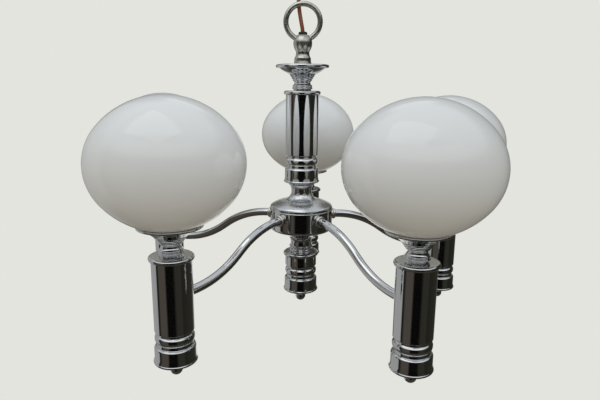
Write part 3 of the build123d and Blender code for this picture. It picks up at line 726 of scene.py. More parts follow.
def add_ramp(tree, position, stops):
    """A colour from a ramp, whose stops are given as (position, colour)."""
    ramp = add_node(tree, "ShaderNodeValToRGB", {0: position})
    elements = ramp.color_ramp.elements
    while len(elements) < len(stops):
        elements.new(1.0)
    for element, (stop, tone) in zip(elements, stops):
        element.position = stop
        element.color = (*tone, 1)
    return ramp.outputs["Color"]


def room_reflection(tree, direction):
    """What polished metal sees of the room: walls by compass direction, then ceiling and floor."""
    studio = bpy.context.scene.chandelier_studio
    across, away, up = (direction.outputs[axis] for axis in "XYZ")
    towards = calculate(tree, "MULTIPLY", away, -1.0)
    bearing = calculate(tree, "ARCTAN2", across, towards)
    compass = map_range(tree, bearing, -pi, pi)
    black, brown, olive = (0.003, 0.003, 0.003), (0.075, 0.064, 0.053), (0.030, 0.029, 0.022)
    screen, wall = (0.37, 0.37, 0.365), (0.12, 0.12, 0.108)
    backdrop = studio.backdrop[:3]
    walls = add_ramp(
        tree, compass,
        [
            (at_bearing(-180), backdrop), (at_bearing(-167), backdrop), (at_bearing(-160), wall),
            (at_bearing(-150), wall), (at_bearing(-145), screen),
            (at_bearing(-84), screen), (at_bearing(-78), black), (at_bearing(-68), olive),
            (at_bearing(-62), brown), (at_bearing(-27), brown), (at_bearing(-18), black),
            (at_bearing(20), black), (at_bearing(34), olive), (at_bearing(62), olive),
            (at_bearing(70), shade(olive, 0.6)[:3]), (at_bearing(140), olive),
            (at_bearing(155), wall), (at_bearing(160), wall), (at_bearing(167), backdrop),
            (at_bearing(180), backdrop),
        ],
    )
    above_backdrop = map_range(tree, up, 0.06, 0.16)
    facing_backdrop = calculate(tree, "GREATER_THAN", away, 0.8)
    on_wall = calculate(tree, "MULTIPLY", above_backdrop, facing_backdrop)
    walls = mix_colours(tree, on_wall, walls, (*wall, 1))
    beyond = calculate(tree, "MAXIMUM", away, 0.0)
    height = calculate(tree, "MULTIPLY_ADD", beyond, -0.45, up)
    nearer = map_range(tree, towards, 0.15, 0.5, smooth=True)
    steep = map_range(tree, up, 0.72, 0.86, smooth=True)
    overhead = mix_colours(tree, nearer, studio.ceiling, studio.window)
    high_over = calculate(tree, "MULTIPLY", nearer, steep)
    overhead = mix_colours(tree, high_over, overhead, studio.upper_dusk)
    rise = map_range(tree, height, 0.28, 0.55, smooth=True)
    with_ceiling = mix_colours(tree, rise, walls, overhead)
    fall = map_range(tree, up, -0.45, -0.8, smooth=True)
    return mix_colours(tree, fall, with_ceiling, studio.dark_floor)


def at_bearing(degrees):
    """A direction's place on the compass ramp, with the camera's side at nought."""
    return (degrees + 180) / 360


def world_light():
    """The surroundings: soft light, a room for the metal to reflect, and a pale backdrop."""
    studio = bpy.context.scene.chandelier_studio
    world = bpy.data.worlds.new("Studio")
    bpy.context.scene.world = world
    world.use_nodes = True
    tree = world.node_tree
    tree.nodes.clear()
    place = add_node(tree, "ShaderNodeTexCoord")
    direction = add_node(tree, "ShaderNodeSeparateXYZ", {"Vector": place.outputs["Generated"]})
    height = map_range(tree, direction.outputs["Z"], -1.0, 1.0)
    soft_light = mix_colours(tree, height, studio.ground, studio.sky)
    rays = add_node(tree, "ShaderNodeLightPath").outputs
    reflected = room_reflection(tree, direction)
    lit = mix_colours(tree, rays["Is Glossy Ray"], soft_light, reflected)
    shown = calculate(tree, "MAXIMUM", rays["Is Camera Ray"], rays["Is Transmission Ray"])
    final = mix_colours(tree, shown, lit, studio.backdrop)
    background = add_node(tree, "ShaderNodeBackground", {"Color": final})
    output = add_node(tree, "ShaderNodeOutputWorld")
    tree.links.new(background.outputs[0], output.inputs["Surface"])


def floor_finish():
    """The pale floor: flat to the camera, and plain matt to everything else."""
    studio = bpy.context.scene.chandelier_studio
    material = bpy.data.materials.new("pale_floor")
    material.use_nodes = True
    tree = material.node_tree
    principled = tree.nodes["Principled BSDF"]
    principled.inputs["Base Color"].default_value = studio.floor_tone
    principled.inputs["Roughness"].default_value = 0.9
    glow = add_node(tree, "ShaderNodeEmission", {"Color": studio.backdrop})
    rays = add_node(tree, "ShaderNodeLightPath")
    mixed = add_node(
        tree, "ShaderNodeMixShader",
        {0: rays.outputs["Is Camera Ray"], 1: principled.outputs[0], 2: glow.outputs[0]},
    )
    tree.links.new(mixed.outputs[0], tree.nodes["Material Output"].inputs["Surface"])
    return material


def soft_box(name, place, aim, width, height, power):
    """A soft area lamp that the camera doesn't see."""
    lamp = bpy.data.lights.new(name, "AREA")
    lamp.shape = "RECTANGLE"
    lamp.size = width
    lamp.size_y = height
    lamp.energy = power
    light = in_scene(name, lamp)
    light.location = place
    light.rotation_euler = (Vector(aim) - Vector(place)).to_track_quat("-Z", "Y").to_euler()
    light.visible_camera = False


# Operators: one for the stage, and one for each piece or group of like pieces


class CHANDELIER_OT_stage(bpy.types.Operator):
    """Sets up the camera, the soft light, the backdrop and the floor"""

    bl_idname = "chandelier.stage"
    bl_label = "Stage"

    def execute(self, context):
        scene = context.scene
        studio = scene.chandelier_studio
        scene.view_settings.view_transform = "Standard"
        camera_data = bpy.data.cameras.new("Camera")
        camera_data.lens = studio.lens
        camera_data.sensor_width = 36
        camera = in_scene("Camera", camera_data)
        away = Matrix.Translation((0, -studio.distance, -studio.camera_level))
        facing = Matrix.Rotation(pi / 2 - studio.tilt, 4, "X")
        camera.matrix_world = (
            Matrix.Rotation(studio.camera_turn, 4, "Z") @ away
            @ Matrix.Rotation(studio.aim, 4, "Z") @ facing
            @ Matrix.Rotation(studio.roll, 4, "Z")
        )
        scene.camera = camera
        world_light()
        bm = bmesh.new()
        floor_level = cad_box[0].z - studio.floor_drop
        bmesh.ops.create_circle(
            bm, cap_ends=True, segments=64, radius=studio.floor_radius,
            matrix=Matrix.Translation((0, 0, floor_level)),
        )
        floor = in_scene("Floor", mesh_of("Floor", bm, floor_finish()))
        soft_box(
            "Overhead light", place=(-0.3, -0.4, 1.1), aim=(0, 0, -0.2), width=1.2, height=0.9,
            power=2.8,
        )
        return {"FINISHED"}


class CHANDELIER_OT_loop(bpy.types.Operator):
    """Makes the cast suspension loop and the cable's bush"""

    bl_idname = "chandelier.loop"
    bl_label = "Suspension loop"

    def execute(self, context):
        sizes = context.scene.chandelier_loop
        low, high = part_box("suspension_loop")
        ring_level = high.z - sizes.ring_radius - sizes.wire_radius
        knob_level = ring_level - 23.8 * MM
        bush_level = knob_level + 9.3 * MM
        neck_top = knob_level - 9.8 * MM
        base_top = neck_top - 6.1 * MM
        base, knob = sizes.base_radius, sizes.knob_radius
        bore, flange = 3.9 * MM, base + 1.8 * MM
        outline = [
            (bore, low.z),
            (flange, low.z),
            (flange, low.z + 2.5 * MM),
            (base, base_top - 5.1 * MM),
            (base, base_top - 1.6 * MM),
            (base - 0.8 * MM, base_top - 0.8 * MM),
            (sizes.neck_radius, base_top + 2.4 * MM, sizes.neck_radius, neck_top - 0.6 * MM),
            (sizes.neck_radius + 0.2 * MM, neck_top),
            (knob - 0.6 * MM, knob_level - 4.7 * MM, knob, knob_level),
            (knob - 1.8 * MM, knob_level + 5.6 * MM, sizes.bush_radius + 0.2 * MM, bush_level),
            (bore, bush_level),
        ]
        bm = turned(outline, soften=0.4 * MM)
        section = bmesh.ops.create_circle(
            bm, segments=24, radius=sizes.wire_radius,
            matrix=Matrix.Translation((sizes.ring_radius, 0, ring_level)),
        )
        bmesh.ops.spin(
            bm, geom=section["verts"] + rim_of(section), cent=(0, 0, ring_level), axis=(0, 1, 0),
            angle=2 * pi, steps=COLUMN_STEPS, use_merge=True, use_duplicate=False,
        )
        close_poles(bm)
        casting = finished(
            "loop_casting", bm, cast_nickel(), "nickel", ["suspension_loop"], even=False
        )
        blend = casting.modifiers.new("Cast in one", "REMESH")
        blend.mode = "VOXEL"
        blend.voxel_size = 0.42 * MM
        blend.use_smooth_shade = True
        soften = casting.modifiers.new("Soft corners", "SMOOTH")
        soften.factor = 0.5
        soften.iterations = 10
        bush = sizes.bush_radius
        hole = sizes.cable_radius + 0.3 * MM
        sleeve = bore - BUTT_GAP
        sleeve_foot, bush_top = bush_level - 6 * MM, bush_level + 3.2 * MM
        bush_outline = [
            (hole, sleeve_foot),
            (sleeve, sleeve_foot),
            (sleeve, bush_level),
            (bush, bush_level),
            (bush, bush_level + 1.1 * MM),
            (bush - 0.3 * MM, bush_level + 2.4 * MM, bush - 1.3 * MM, bush_top),
            (hole, bush_top),
        ]
        bm = turned(bush_outline, ROD_STEPS)
        finished("cable_bush_rubber", bm, black_rubber(), "black_rubber", ["cable_bush"])
        return {"FINISHED"}


class CHANDELIER_OT_cable(bpy.types.Operator):
    """Makes the supply cable and the terminal block on its end"""

    bl_idname = "chandelier.cable"
    bl_label = "Supply cable"

    def execute(self, context):
        sizes = context.scene.chandelier_loop
        start = Vector((0, 0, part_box("supply_cable")[0].z))
        route = [
            (0, 0, 0),
            (0, 0, 8 * MM),
            (-2.3 * MM, 1.6 * MM, 18.6 * MM),
            (-4.9 * MM, 5.4 * MM, 32.6 * MM),
            (-6.2 * MM, 9 * MM, 47 * MM),
            (-6 * MM, 11 * MM, 61 * MM),
        ]
        points = [start + Vector(point) for point in route]
        curve = bpy.data.curves.new("supply_cable_sheath", "CURVE")
        curve.dimensions = "3D"
        curve.bevel_depth = sizes.cable_radius
        curve.bevel_resolution = 6
        curve.use_fill_caps = True
        curve.resolution_u = 16
        spline = curve.splines.new("NURBS")
        spline.points.add(len(points) - 1)
        for control, point in zip(spline.points, points):
            control.co = (*point, 1)
        spline.order_u = 3
        spline.use_endpoint_u = True
        curve.materials.append(brown_cable())
        cable = in_scene("supply_cable_sheath", curve)
        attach(cable, "frame")
        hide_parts("supply_cable")
        block = self.terminal_block(points[-1], points[-1] - points[-2])
        return {"FINISHED"}

    def terminal_block(self, foot, direction):
        """A three-pole block with holes in its ends and in one side, its lower end on the cable."""
        body = Vector((21, 11, 17)) * MM
        hole = 1.7 * MM
        square_on = 0.9  # how much of a face's normal lies along an axis
        taper = 0.05 * MM  # how much a hole narrows
        sharp = radians(60)
        bm = bmesh.new()
        bmesh.ops.create_grid(
            bm, x_segments=3, y_segments=1, size=0.5, matrix=Matrix.Diagonal((body.x, body.y, 1, 1))
        )
        ends = bm.faces[:]
        bmesh.ops.solidify(bm, geom=ends, thickness=body.z)
        bmesh.ops.recalc_face_normals(bm, faces=bm.faces)
        low = min(point.co.z for point in bm.verts)
        bmesh.ops.translate(bm, vec=(0, 0, -low - body.z / 2), verts=bm.verts)
        mouths = [face for face in bm.faces if abs(face.normal.z) > square_on]
        wells = [face for face in bm.faces if face.normal.y > square_on]
        for faces, depth in ((mouths, -4 * MM), (wells, -2 * MM)):
            for face in faces:
                reach = min(edge.calc_length() for edge in face.edges) / 2
                bmesh.ops.inset_individual(bm, faces=[face], thickness=reach - hole)
                bmesh.ops.inset_individual(bm, faces=[face], thickness=taper, depth=depth)
        soften = [
            edge for edge in bm.edges
            if len(edge.link_faces) == 2 and edge.calc_face_angle() > sharp
        ]
        bmesh.ops.bevel(
            bm, geom=soften, offset=0.35 * MM, segments=2, profile=0.5, affect="EDGES",
            clamp_overlap=True, material=-1,
        )
        turn = direction.to_track_quat("Z", "Y").to_matrix().to_4x4()
        raised = Matrix.Translation((0, 0, body.z / 2 + BUTT_GAP))
        place = Matrix.Translation(foot) @ turn @ raised
        bmesh.ops.transform(bm, matrix=place, verts=bm.verts)
        return finished(
            "terminal_block_body", bm, white_nylon(), "white_nylon", ["terminal_block"]
        )


def cap_outline(sizes, top):
    """A flat cap with a full-round rim and a spigot in the tube."""
    foot = top - sizes.cap_thickness
    rim = sizes.cap_radius - sizes.cap_thickness / 2
    spigot = sizes.tube_radius - sizes.tube_wall - SLIP_FIT
    inside = spigot - 1.5 * MM
    return [
        (sizes.rod_hole, top),
        (rim, top),
        (sizes.cap_radius, (top + foot) / 2, rim, foot),
        (spigot, foot),
        (spigot, foot - sizes.spigot_depth),
        (inside, foot - sizes.spigot_depth),
        (inside, foot),
        (sizes.rod_hole, foot),
    ]


def tube_outline(sizes, top, end):
    """The column's tube, its lower edge rolled in."""
    roll = sizes.tube_wall * 0.8
    bulge = roll * (1 - cos(pi / 4))
    bore = sizes.tube_radius - sizes.tube_wall
    return [
        (bore, end),
        (bore, top - sizes.cap_thickness),
        (sizes.tube_radius, top - sizes.cap_thickness),
        (sizes.tube_radius, end + roll),
        (sizes.tube_radius - bulge, end + bulge, sizes.tube_radius - roll, end),
    ]


def ferrule_outline(sizes, end):
    """The ferrule: a groove, a bead, a groove, and a band that flares to the rim."""
    tube = sizes.tube_radius
    foot = end - sizes.ferrule_height
    groove = tube - sizes.groove_depth
    spigot = tube - sizes.tube_wall - SLIP_FIT
    floor, bore = foot + 2 * MM, 16 * MM
    collar = end + sizes.spigot_depth
    bead_top = end - 3 * MM
    bead_foot = end - 12.2 * MM
    band_top = end - 15.6 * MM
    flare = foot + 7 * MM
    bead = sizes.rim_bead / 2
    rim = sizes.rim_radius - bead
    band = sizes.band_radius
    return [
        (sizes.rod_hole, foot),
        (sizes.rod_hole, floor),
        (bore, floor),
        (bore, collar),
        (spigot, collar),
        (spigot, end),
        (tube - 0.3 * MM, end),
        (groove, end - 1.2 * MM),
        (groove, bead_top),
        (tube - 0.5 * MM, bead_top - 1.6 * MM, tube, bead_top - 4.4 * MM),
        (tube - 0.8 * MM, bead_foot + 1.4 * MM, groove, bead_foot),
        (groove, band_top),
        (band - 0.7 * MM, band_top - 0.8 * MM, band, band_top - 2.4 * MM),
        (band, flare),
        (band + 0.2 * MM, flare - 2.2 * MM, rim + bead * 0.6, foot + bead * 1.8),
        (sizes.rim_radius, foot + bead, rim, foot),
    ]


def finial_outline(sizes, foot):
    """A ball on a short collar."""
    ball = sizes.ball_radius
    ball_level = foot - sizes.ball_drop + ball
    collar = 6.2 * MM
    hole_end = foot - 5.5 * MM
    shoulder, waist = radians(62), radians(25)
    return [
        (0, hole_end),
        (sizes.rod_hole, hole_end),
        (sizes.rod_hole, foot),
        (collar, foot),
        (collar + 0.5 * MM, foot - 1.1 * MM, collar, foot - 2.2 * MM),
        (ball * sin(shoulder), ball_level + ball * cos(shoulder)),
        (ball * cos(waist), ball_level - ball * sin(waist), 0, ball_level - ball),
    ]


class CHANDELIER_OT_columns(bpy.types.Operator):
    """Makes the upper, lower and outer columns: caps, tubes, ferrules and finials"""

    bl_idname = "chandelier.columns"
    bl_label = "Columns"

    def execute(self, context):
        sizes = context.scene.chandelier_columns
        for name in ("upper", "lower"):
            self.column(sizes, f"{name}_cap", f"{name}_tube", f"{name}_ferrule")
        top = column_top("column_tube_1")
        places = [at_axis(f"column_tube_{number}") for number in ARMS]
        chromed("outer_caps", turned(cap_outline(sizes, top), places=places), "column_caps")
        for number in ARMS:
            self.tube_and_ferrule(sizes, f"column_tube_{number}", f"column_ferrule_{number}")
        outline = finial_outline(sizes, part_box("column_ferrule_1")[0].z)
        chromed("outer_finials", turned(outline, ROD_STEPS, places), "column_finials")
        outline = finial_outline(sizes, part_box("lower_ferrule")[0].z)
        chromed("lower_finial", turned(outline, ROD_STEPS), "centre_finial")
        return {"FINISHED"}

    def column(self, sizes, cap, tube, ferrule):
        """A whole column on the chandelier's own axis."""
        chromed(f"{cap}_plate", turned(cap_outline(sizes, column_top(tube))), cap)
        self.tube_and_ferrule(sizes, tube, ferrule)

    def tube_and_ferrule(self, sizes, tube, ferrule):
        """A column's tube and the ferrule under it."""
        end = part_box(tube)[0].z
        place = [at_axis(tube)]
        outline = tube_outline(sizes, column_top(tube), end)
        chromed(f"{tube}_shell", turned(outline, places=place), tube)
        chromed(f"{ferrule}_shell", turned(ferrule_outline(sizes, end), places=place), ferrule)


def globe_oval(sizes):
    """The oval's arcs: how far the side's and the cap's centres lie off, and the cap's radius."""
    side_centre = sizes.radius - sizes.side_radius
    gap = sizes.half_height - sizes.side_radius
    cap_offset = (side_centre**2 - gap**2) / (2 * gap)
    cap_radius = sizes.half_height + cap_offset
    return side_centre, cap_offset, cap_radius


def dish_outline(sizes, shape, foot, lip):
    """A gallery: a foot with two beads, a waist, a ribbed cone and a dish with a rolled lip."""
    lip_level = foot + sizes.height - shape.lip_radius
    bead, edge = sizes.foot_bead, sizes.foot_radius
    waist = foot + shape.neck_height
    seat = edge - 1.8 * MM
    outline = [(ROD_BORE, foot), (seat, foot), (seat, foot + 1.3 * MM)]
    for number in range(2):
        low = foot + 1.9 * MM + number * (bead + 0.2 * MM)
        side = edge - 0.9 * MM - number * 0.3 * MM
        outline.append((side, low))
        outline.append((side + 0.9 * MM, low + bead / 2, side, low + bead))
    outline.append((sizes.neck_radius + 0.4 * MM, waist - 1.5 * MM, sizes.neck_radius, waist))
    cone, rib_foot = sizes.neck_radius + 0.5 * MM, waist + 1.4 * MM
    outline.append((sizes.neck_radius + 0.1 * MM, waist + 0.8 * MM, cone, rib_foot))
    rib_top = foot + shape.rib_top_height
    ribs = 4
    for rib in range(1, ribs + 1):
        outer = cone + (sizes.last_rib - cone) * rib / ribs
        high = rib_foot + (rib_top - rib_foot) * rib / ribs
        outline.append((outer + shape.rib_depth * 0.6, high - 0.5 * MM))
        outline.append((outer - shape.rib_depth * 0.4, high))
    outline.append((sizes.last_rib, rib_top + 0.2 * MM))
    under, over = radians(224), radians(160)
    reach = shape.lip_radius
    start = (lip + reach * cos(under), lip_level + reach * sin(under))
    stop = (lip + reach * cos(over), lip_level + reach * sin(over))
    outline.append((*bowed(outline[-1], start, shape.fullness), *start))
    outline.append((lip + reach, lip_level, *stop))
    floor_edge = (shape.floor_radius, foot + sizes.floor_height)
    outline.append((*bowed(floor_edge, stop, shape.fullness), *floor_edge))
    outline.append((ROD_BORE, floor_edge[1]))
    return outline


def bowed(low, high, fullness):
    """The middle of a dish's wall: below the straight line where the fullness is over a half."""
    across = low[0] + (high[0] - low[0]) * fullness
    return across, high[1] + (low[1] - high[1]) * fullness


def lip_radius_of(node, shape):
    """The radius of a gallery's lip centreline, from the dish's box."""
    low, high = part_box(node)
    return (high.x - low.x) / 2 - shape.lip_radius


class CHANDELIER_OT_galleries(bpy.types.Operator):
    """Makes the top dish and the five galleries"""

    bl_idname = "chandelier.galleries"
    bl_label = "Galleries"

    def execute(self, context):
        sizes = context.scene.chandelier_gallery
        for node in ["top_dish"] + [f"gallery_{number}" for number in ARMS]:
            shape = context.scene.chandelier_top_dish if node == "top_dish" else sizes
            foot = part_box(node)[0].z
            outline = dish_outline(sizes, shape, foot, lip_radius_of(node, shape))
            bm = turned(outline, places=[at_axis(node)], soften=0.15 * MM)
            chromed(f"{node}_shell", bm, node)
        return {"FINISHED"}


def globe_outline(sizes, level):
    """The glass's outline: its outer side from mouth to top, then its inner side back."""
    side_centre, cap_offset, cap_radius = globe_oval(sizes)
    lean = atan2(side_centre, cap_offset)
    sides = []
    for shrink in (0, sizes.wall):
        cap, side = cap_radius - shrink, sizes.side_radius - shrink
        join_x, join_z = side_centre + side * sin(lean), side * cos(lean)
        middle = (asin(sizes.mouth_radius / cap) + lean) / 2
        low_centre = level + cap_offset
        sides.append(
            {
                "mouth": (sizes.mouth_radius, low_centre - sqrt(cap**2 - sizes.mouth_radius**2)),
                "low_middle": (cap * sin(middle), low_centre - cap * cos(middle)),
                "low_join": (join_x, level - join_z),
                "side": (side_centre + side, level),
                "high_join": (join_x, level + join_z),
                "high_middle": (cap * sin(lean / 2), level - cap_offset + cap * cos(lean / 2)),
                "top": (0, level + sizes.half_height - shrink),
            }
        )
    outer, inner = sides
    return [
        outer["top"],
        (*outer["high_middle"], *outer["high_join"]),
        (*outer["side"], *outer["low_join"]),
        (*outer["low_middle"], *outer["mouth"]),
        inner["mouth"],
        (*inner["low_middle"], *inner["low_join"]),
        (*inner["side"], *inner["high_join"]),
        (*inner["high_middle"], *inner["top"]),
    ]


class CHANDELIER_OT_globes(bpy.types.Operator):
    """Makes the five blown glass globes"""

    bl_idname = "chandelier.globes"
    bl_label = "Globes"

    def execute(self, context):
        sizes = context.scene.chandelier_globes
        for number in ARMS:
            node = f"globe_{number}"
            outline = globe_outline(sizes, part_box(node)[1].z - sizes.half_height)
            bm = turned(outline, HUB_STEPS, [at_axis(node)], soften=1 * MM, finest=GLASS_TURN)
            finished(f"{node}_glass", bm, opal_glass(), "opal_glass", [node], body=node)
        return {"FINISHED"}


def bell_outline(sizes, foot, rod_hole):
    """The hub's bell: a collar, a waisted neck and a skirt that ends in a lip on the drum."""
    top = foot + sizes.bell_height
    neck = foot + sizes.bell_height * 0.655
    collar_foot = top - 3 * MM
    radius, wall = sizes.drum_radius, sizes.bell_wall
    bend = (sizes.bell_neck + 2.3 * MM, foot + sizes.bell_height * 0.452)
    shoulder = (radius * 0.530, foot + sizes.bell_height * 0.333)
    skirt = (radius * 0.745, foot + sizes.bell_height * 0.265)
    knee = (radius * 0.947, foot + sizes.bell_height * 0.155)
    spigot = radius - sizes.drum_wall - SLIP_FIT
    lip_foot = foot - sizes.bell_lip
    lip_edge, spigot_foot = radius + 0.7 * MM, lip_foot - 1 * MM
    return [
        (rod_hole, top),
        (sizes.bell_top - 0.6 * MM, top),
        (sizes.bell_top, top - 1.5 * MM, sizes.bell_top - 0.6 * MM, collar_foot),
        (sizes.bell_neck + 2.2 * MM, collar_foot - 0.4 * MM),
        (sizes.bell_neck + 0.5 * MM, (collar_foot + neck) / 2, sizes.bell_neck, neck),
        (*bend, *shoulder),
        (*skirt, *knee),
        (radius - 0.7 * MM, foot + 3.7 * MM, radius, foot + 1.5 * MM),
        (radius, foot),
        (lip_edge, foot - sizes.bell_lip * 0.3),
        (lip_edge, lip_foot),
        (spigot, lip_foot),
        (spigot, spigot_foot),
        (spigot - wall, spigot_foot),
        (spigot - wall, foot),
        (knee[0] - wall, knee[1] - wall * 1.3),
        (skirt[0] - wall * 0.3, skirt[1] - wall, shoulder[0] - wall * 0.3, shoulder[1] - wall),
        (bend[0] - wall, bend[1] - wall, sizes.bell_neck - wall, neck),
        (sizes.bell_neck - wall, collar_foot),
        (rod_hole, collar_foot),
    ]


def drum_outline(sizes, top, rod_hole):
    """The hub's drum: a straight wall, a shallow bowl and a neck on the lower column."""
    radius, neck = sizes.drum_radius, sizes.neck_radius
    bore = radius - sizes.drum_wall
    wall_foot = top - sizes.drum_height
    bowl = wall_foot - sizes.bowl_depth
    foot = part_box("hub_drum")[0].z
    neck_level = bowl - (bowl - foot) * 0.5
    foot_bead = foot + 4.3 * MM
    bead_foot, bead_top = foot_bead + 1.2 * MM, foot_bead + 4.5 * MM
    edge = sizes.neck_bead - 0.8 * MM
    floor = bowl + sizes.drum_wall
    return [
        (bore, top),
        (radius, top),
        (radius, wall_foot),
        (radius - 1.3 * MM, wall_foot - 3.1 * MM, radius - 4.8 * MM, wall_foot - 4.6 * MM),
        (radius * 0.69, bowl + 0.8 * MM, neck + 6.6 * MM, bowl - 2.4 * MM),
        (neck + 2.3 * MM, bowl - 6.4 * MM, neck, neck_level),
        (edge - 0.3 * MM, bead_top),
        (sizes.neck_bead, (bead_top + bead_foot) / 2, edge, bead_foot),
        (neck, bead_foot - 0.2 * MM),
        (neck, foot_bead),
        (edge, foot_bead),
        (sizes.neck_bead, (foot_bead + foot) / 2, edge, foot),
        (rod_hole, foot),
        (rod_hole, floor),
        (24 * MM, floor),
        (bore - 4 * MM, wall_foot - 2.9 * MM),
        (bore, wall_foot),
    ]


class CHANDELIER_OT_hub(bpy.types.Operator):
    """Makes the hub's bell and drum"""

    bl_idname = "chandelier.hub"
    bl_label = "Hub"

    def execute(self, context):
        sizes = context.scene.chandelier_hub
        rod_hole = context.scene.chandelier_columns.rod_hole
        drum_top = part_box("hub_drum")[1].z
        bell_foot = drum_top + sizes.bell_lip
        bm = turned(bell_outline(sizes, bell_foot, rod_hole), HUB_STEPS, finest=BELL_TURN)
        finished("hub_bell_shell", bm, satin_chrome(), "chrome", ["hub_bell"])
        bm = turned(drum_outline(sizes, drum_top, rod_hole), HUB_STEPS)
        chromed("hub_drum_shell", bm, "hub_drum")
        return {"FINISHED"}


def bent_tube(sizes, inner_end, outer_end, level, end_level):
    """An arm's tube in the XZ plane: level at both ends, with two bends and a slope between."""
    half_drop = (level - end_level) / 2
    hub, column = bpy.context.scene.chandelier_hub, bpy.context.scene.chandelier_columns
    reach = axis_of("column_tube_1")[1]
    span = reach - column.tube_radius - hub.drum_radius
    middle = hub.drum_radius + span / 2
    half_run = sizes.slope_share * span
    slope = atan2(half_drop, half_run)
    tangent = sizes.bend_share * hypot(half_run, half_drop)
    bend = tangent / tan(slope / 2)
    first_bend = middle - half_run - tangent
    last_bend = middle + half_run + tangent
    straight = 2 * (hypot(half_run, half_drop) - tangent)
    bm = bmesh.new()
    facing = Matrix.Translation((inner_end, 0, level)) @ Matrix.Rotation(pi / 2, 4, "Y")
    ring = bmesh.ops.create_circle(bm, segments=32, radius=sizes.radius, matrix=facing)
    edges = run_on(bm, rim_of(ring), Vector((first_bend - inner_end, 0, 0)))
    edges = bend_round(bm, edges, (first_bend, 0, level - bend), slope)
    edges = run_on(bm, edges, Vector((cos(slope), 0, -sin(slope))) * straight)
    edges = bend_round(bm, edges, (last_bend, 0, end_level + bend), -slope)
    run_on(bm, edges, Vector((outer_end - last_bend, 0, 0)))
    bmesh.ops.recalc_face_normals(bm, faces=bm.faces)
    return bm


def run_on(bm, edges, move):
    """Extrudes a tube's open end by a straight run, and gives its new end."""
    made = bmesh.ops.extrude_edge_only(bm, edges=edges)["geom"]
    bmesh.ops.translate(bm, vec=move, verts=parts_of(made, bmesh.types.BMVert))
    return [edge for edge in parts_of(made, bmesh.types.BMEdge) if edge.is_boundary]


def bend_round(bm, edges, centre, angle):
    """Spins a tube's open end round a bend, and gives its new end."""
    ends = list({point for edge in edges for point in edge.verts})
    spun = bmesh.ops.spin(
        bm, geom=ends + edges, cent=centre, axis=(0, 1, 0), angle=angle,
        steps=ceil(abs(angle) / ARM_TURN), use_merge=False, use_duplicate=False,
    )
    return parts_of(spun["geom_last"], bmesh.types.BMEdge)


class CHANDELIER_OT_arms(bpy.types.Operator):
    """Makes the five bent arms and their collars"""

    bl_idname = "chandelier.arms"
    bl_label = "Arms"

    def execute(self, context):
        sizes = context.scene.chandelier_arms
        low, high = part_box("arm_1")
        level, end_level = high.z - sizes.radius, low.z + sizes.radius
        for number in ARMS:
            tube = bent_tube(sizes, low.y, high.y, level, end_level)
            turn = Matrix.Rotation(arm_angle(number), 4, "Z")
            bm = at_places(tube, [turn])
            arm = chromed(f"arm_{number}_tube", bm, f"arm_{number}", even=False)
            wall = arm.modifiers.new("Tube wall", "SOLIDIFY")
            wall.thickness = sizes.wall
            wall.offset = -1
            wall.use_even_offset = True
        self.collars(context, sizes, level)
        return {"FINISHED"}

    def collars(self, context, sizes, level):
        """The collars on the drum: a neck and a round bead, turned about each arm."""
        hub = context.scene.chandelier_hub
        near = BUTT_GAP
        bore = sizes.radius + SLIP_FIT
        bead_near = near + 2 * MM
        far = bead_near + sizes.collar_bead
        edge = sizes.collar_radius - sizes.collar_bead * 0.2
        outline = [
            (bore, near),
            (sizes.collar_neck, near),
            (sizes.collar_neck, bead_near),
            (edge, bead_near),
            (sizes.collar_radius, (bead_near + far) / 2, edge, far),
            (bore, far),
        ]
        out = Matrix.Translation((hub.drum_radius, 0, level)) @ Matrix.Rotation(pi / 2, 4, "Y")
        places = [Matrix.Rotation(arm_angle(number), 4, "Z") @ out for number in ARMS]
        bm = turned(outline, ROD_STEPS, places)
        finished("arm_collar_set", bm, bright_collar(), "chrome", ["arm_collars"])


class CHANDELIER_OT_springs(bpy.types.Operator):
    """Makes the leaf springs that centre the globes"""

    bl_idname = "chandelier.springs"
    bl_label = "Globe springs"

    def execute(self, context):
        sizes = context.scene.chandelier_gallery
        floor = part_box("gallery_1")[0].z + sizes.floor_height
        mouth = context.scene.chandelier_globes.mouth_radius
        grip = mouth - 0.3 * MM - sizes.spring_thickness / 2
        middle = floor + sizes.spring_thickness / 2
        thirds = [Matrix.Rotation(leaf * 2 * pi / 3, 4, "Z") for leaf in range(3)]
        places = [
            at_axis(f"gallery_{number}") @ Matrix.Rotation(arm_angle(number), 4, "Z") @ third
            for number in ARMS for third in thirds
        ]
        bm = at_places(self.leaf(sizes, middle, floor, grip), places)
        springs = finished(
            "spring_leaves", bm, spring_steel(), "spring_steel", ["globe_springs"], even=False
        )
        thick = springs.modifiers.new("Leaf thickness", "SOLIDIFY")
        thick.thickness = sizes.spring_thickness
        thick.offset = 0
        return {"FINISHED"}

    def leaf(self, sizes, middle, floor, grip):
        """One leaf: flat on the dish's floor, up to the glass, and in at its tip."""
        line = [
            (ROD_BORE, middle),
            (15 * MM, middle),
            (grip, floor + 5.2 * MM),
            (grip, floor + 9.5 * MM),
            (grip - 2.5 * MM, floor + 12.5 * MM),
        ]
        strip = bmesh.new()
        points = [strip.verts.new((x, -sizes.spring_width / 2, z)) for x, z in line]
        for near, far in zip(points, points[1:]):
            strip.edges.new((near, far))
        bmesh.ops.bevel(
            strip, geom=points[1:-1], offset=1.4 * MM, segments=4, profile=0.5,
            affect="VERTICES", material=-1,
        )
        made = bmesh.ops.extrude_edge_only(strip, edges=strip.edges[:])["geom"]
        bmesh.ops.translate(
            strip, vec=(0, sizes.spring_width, 0), verts=parts_of(made, bmesh.types.BMVert)
        )
        return strip


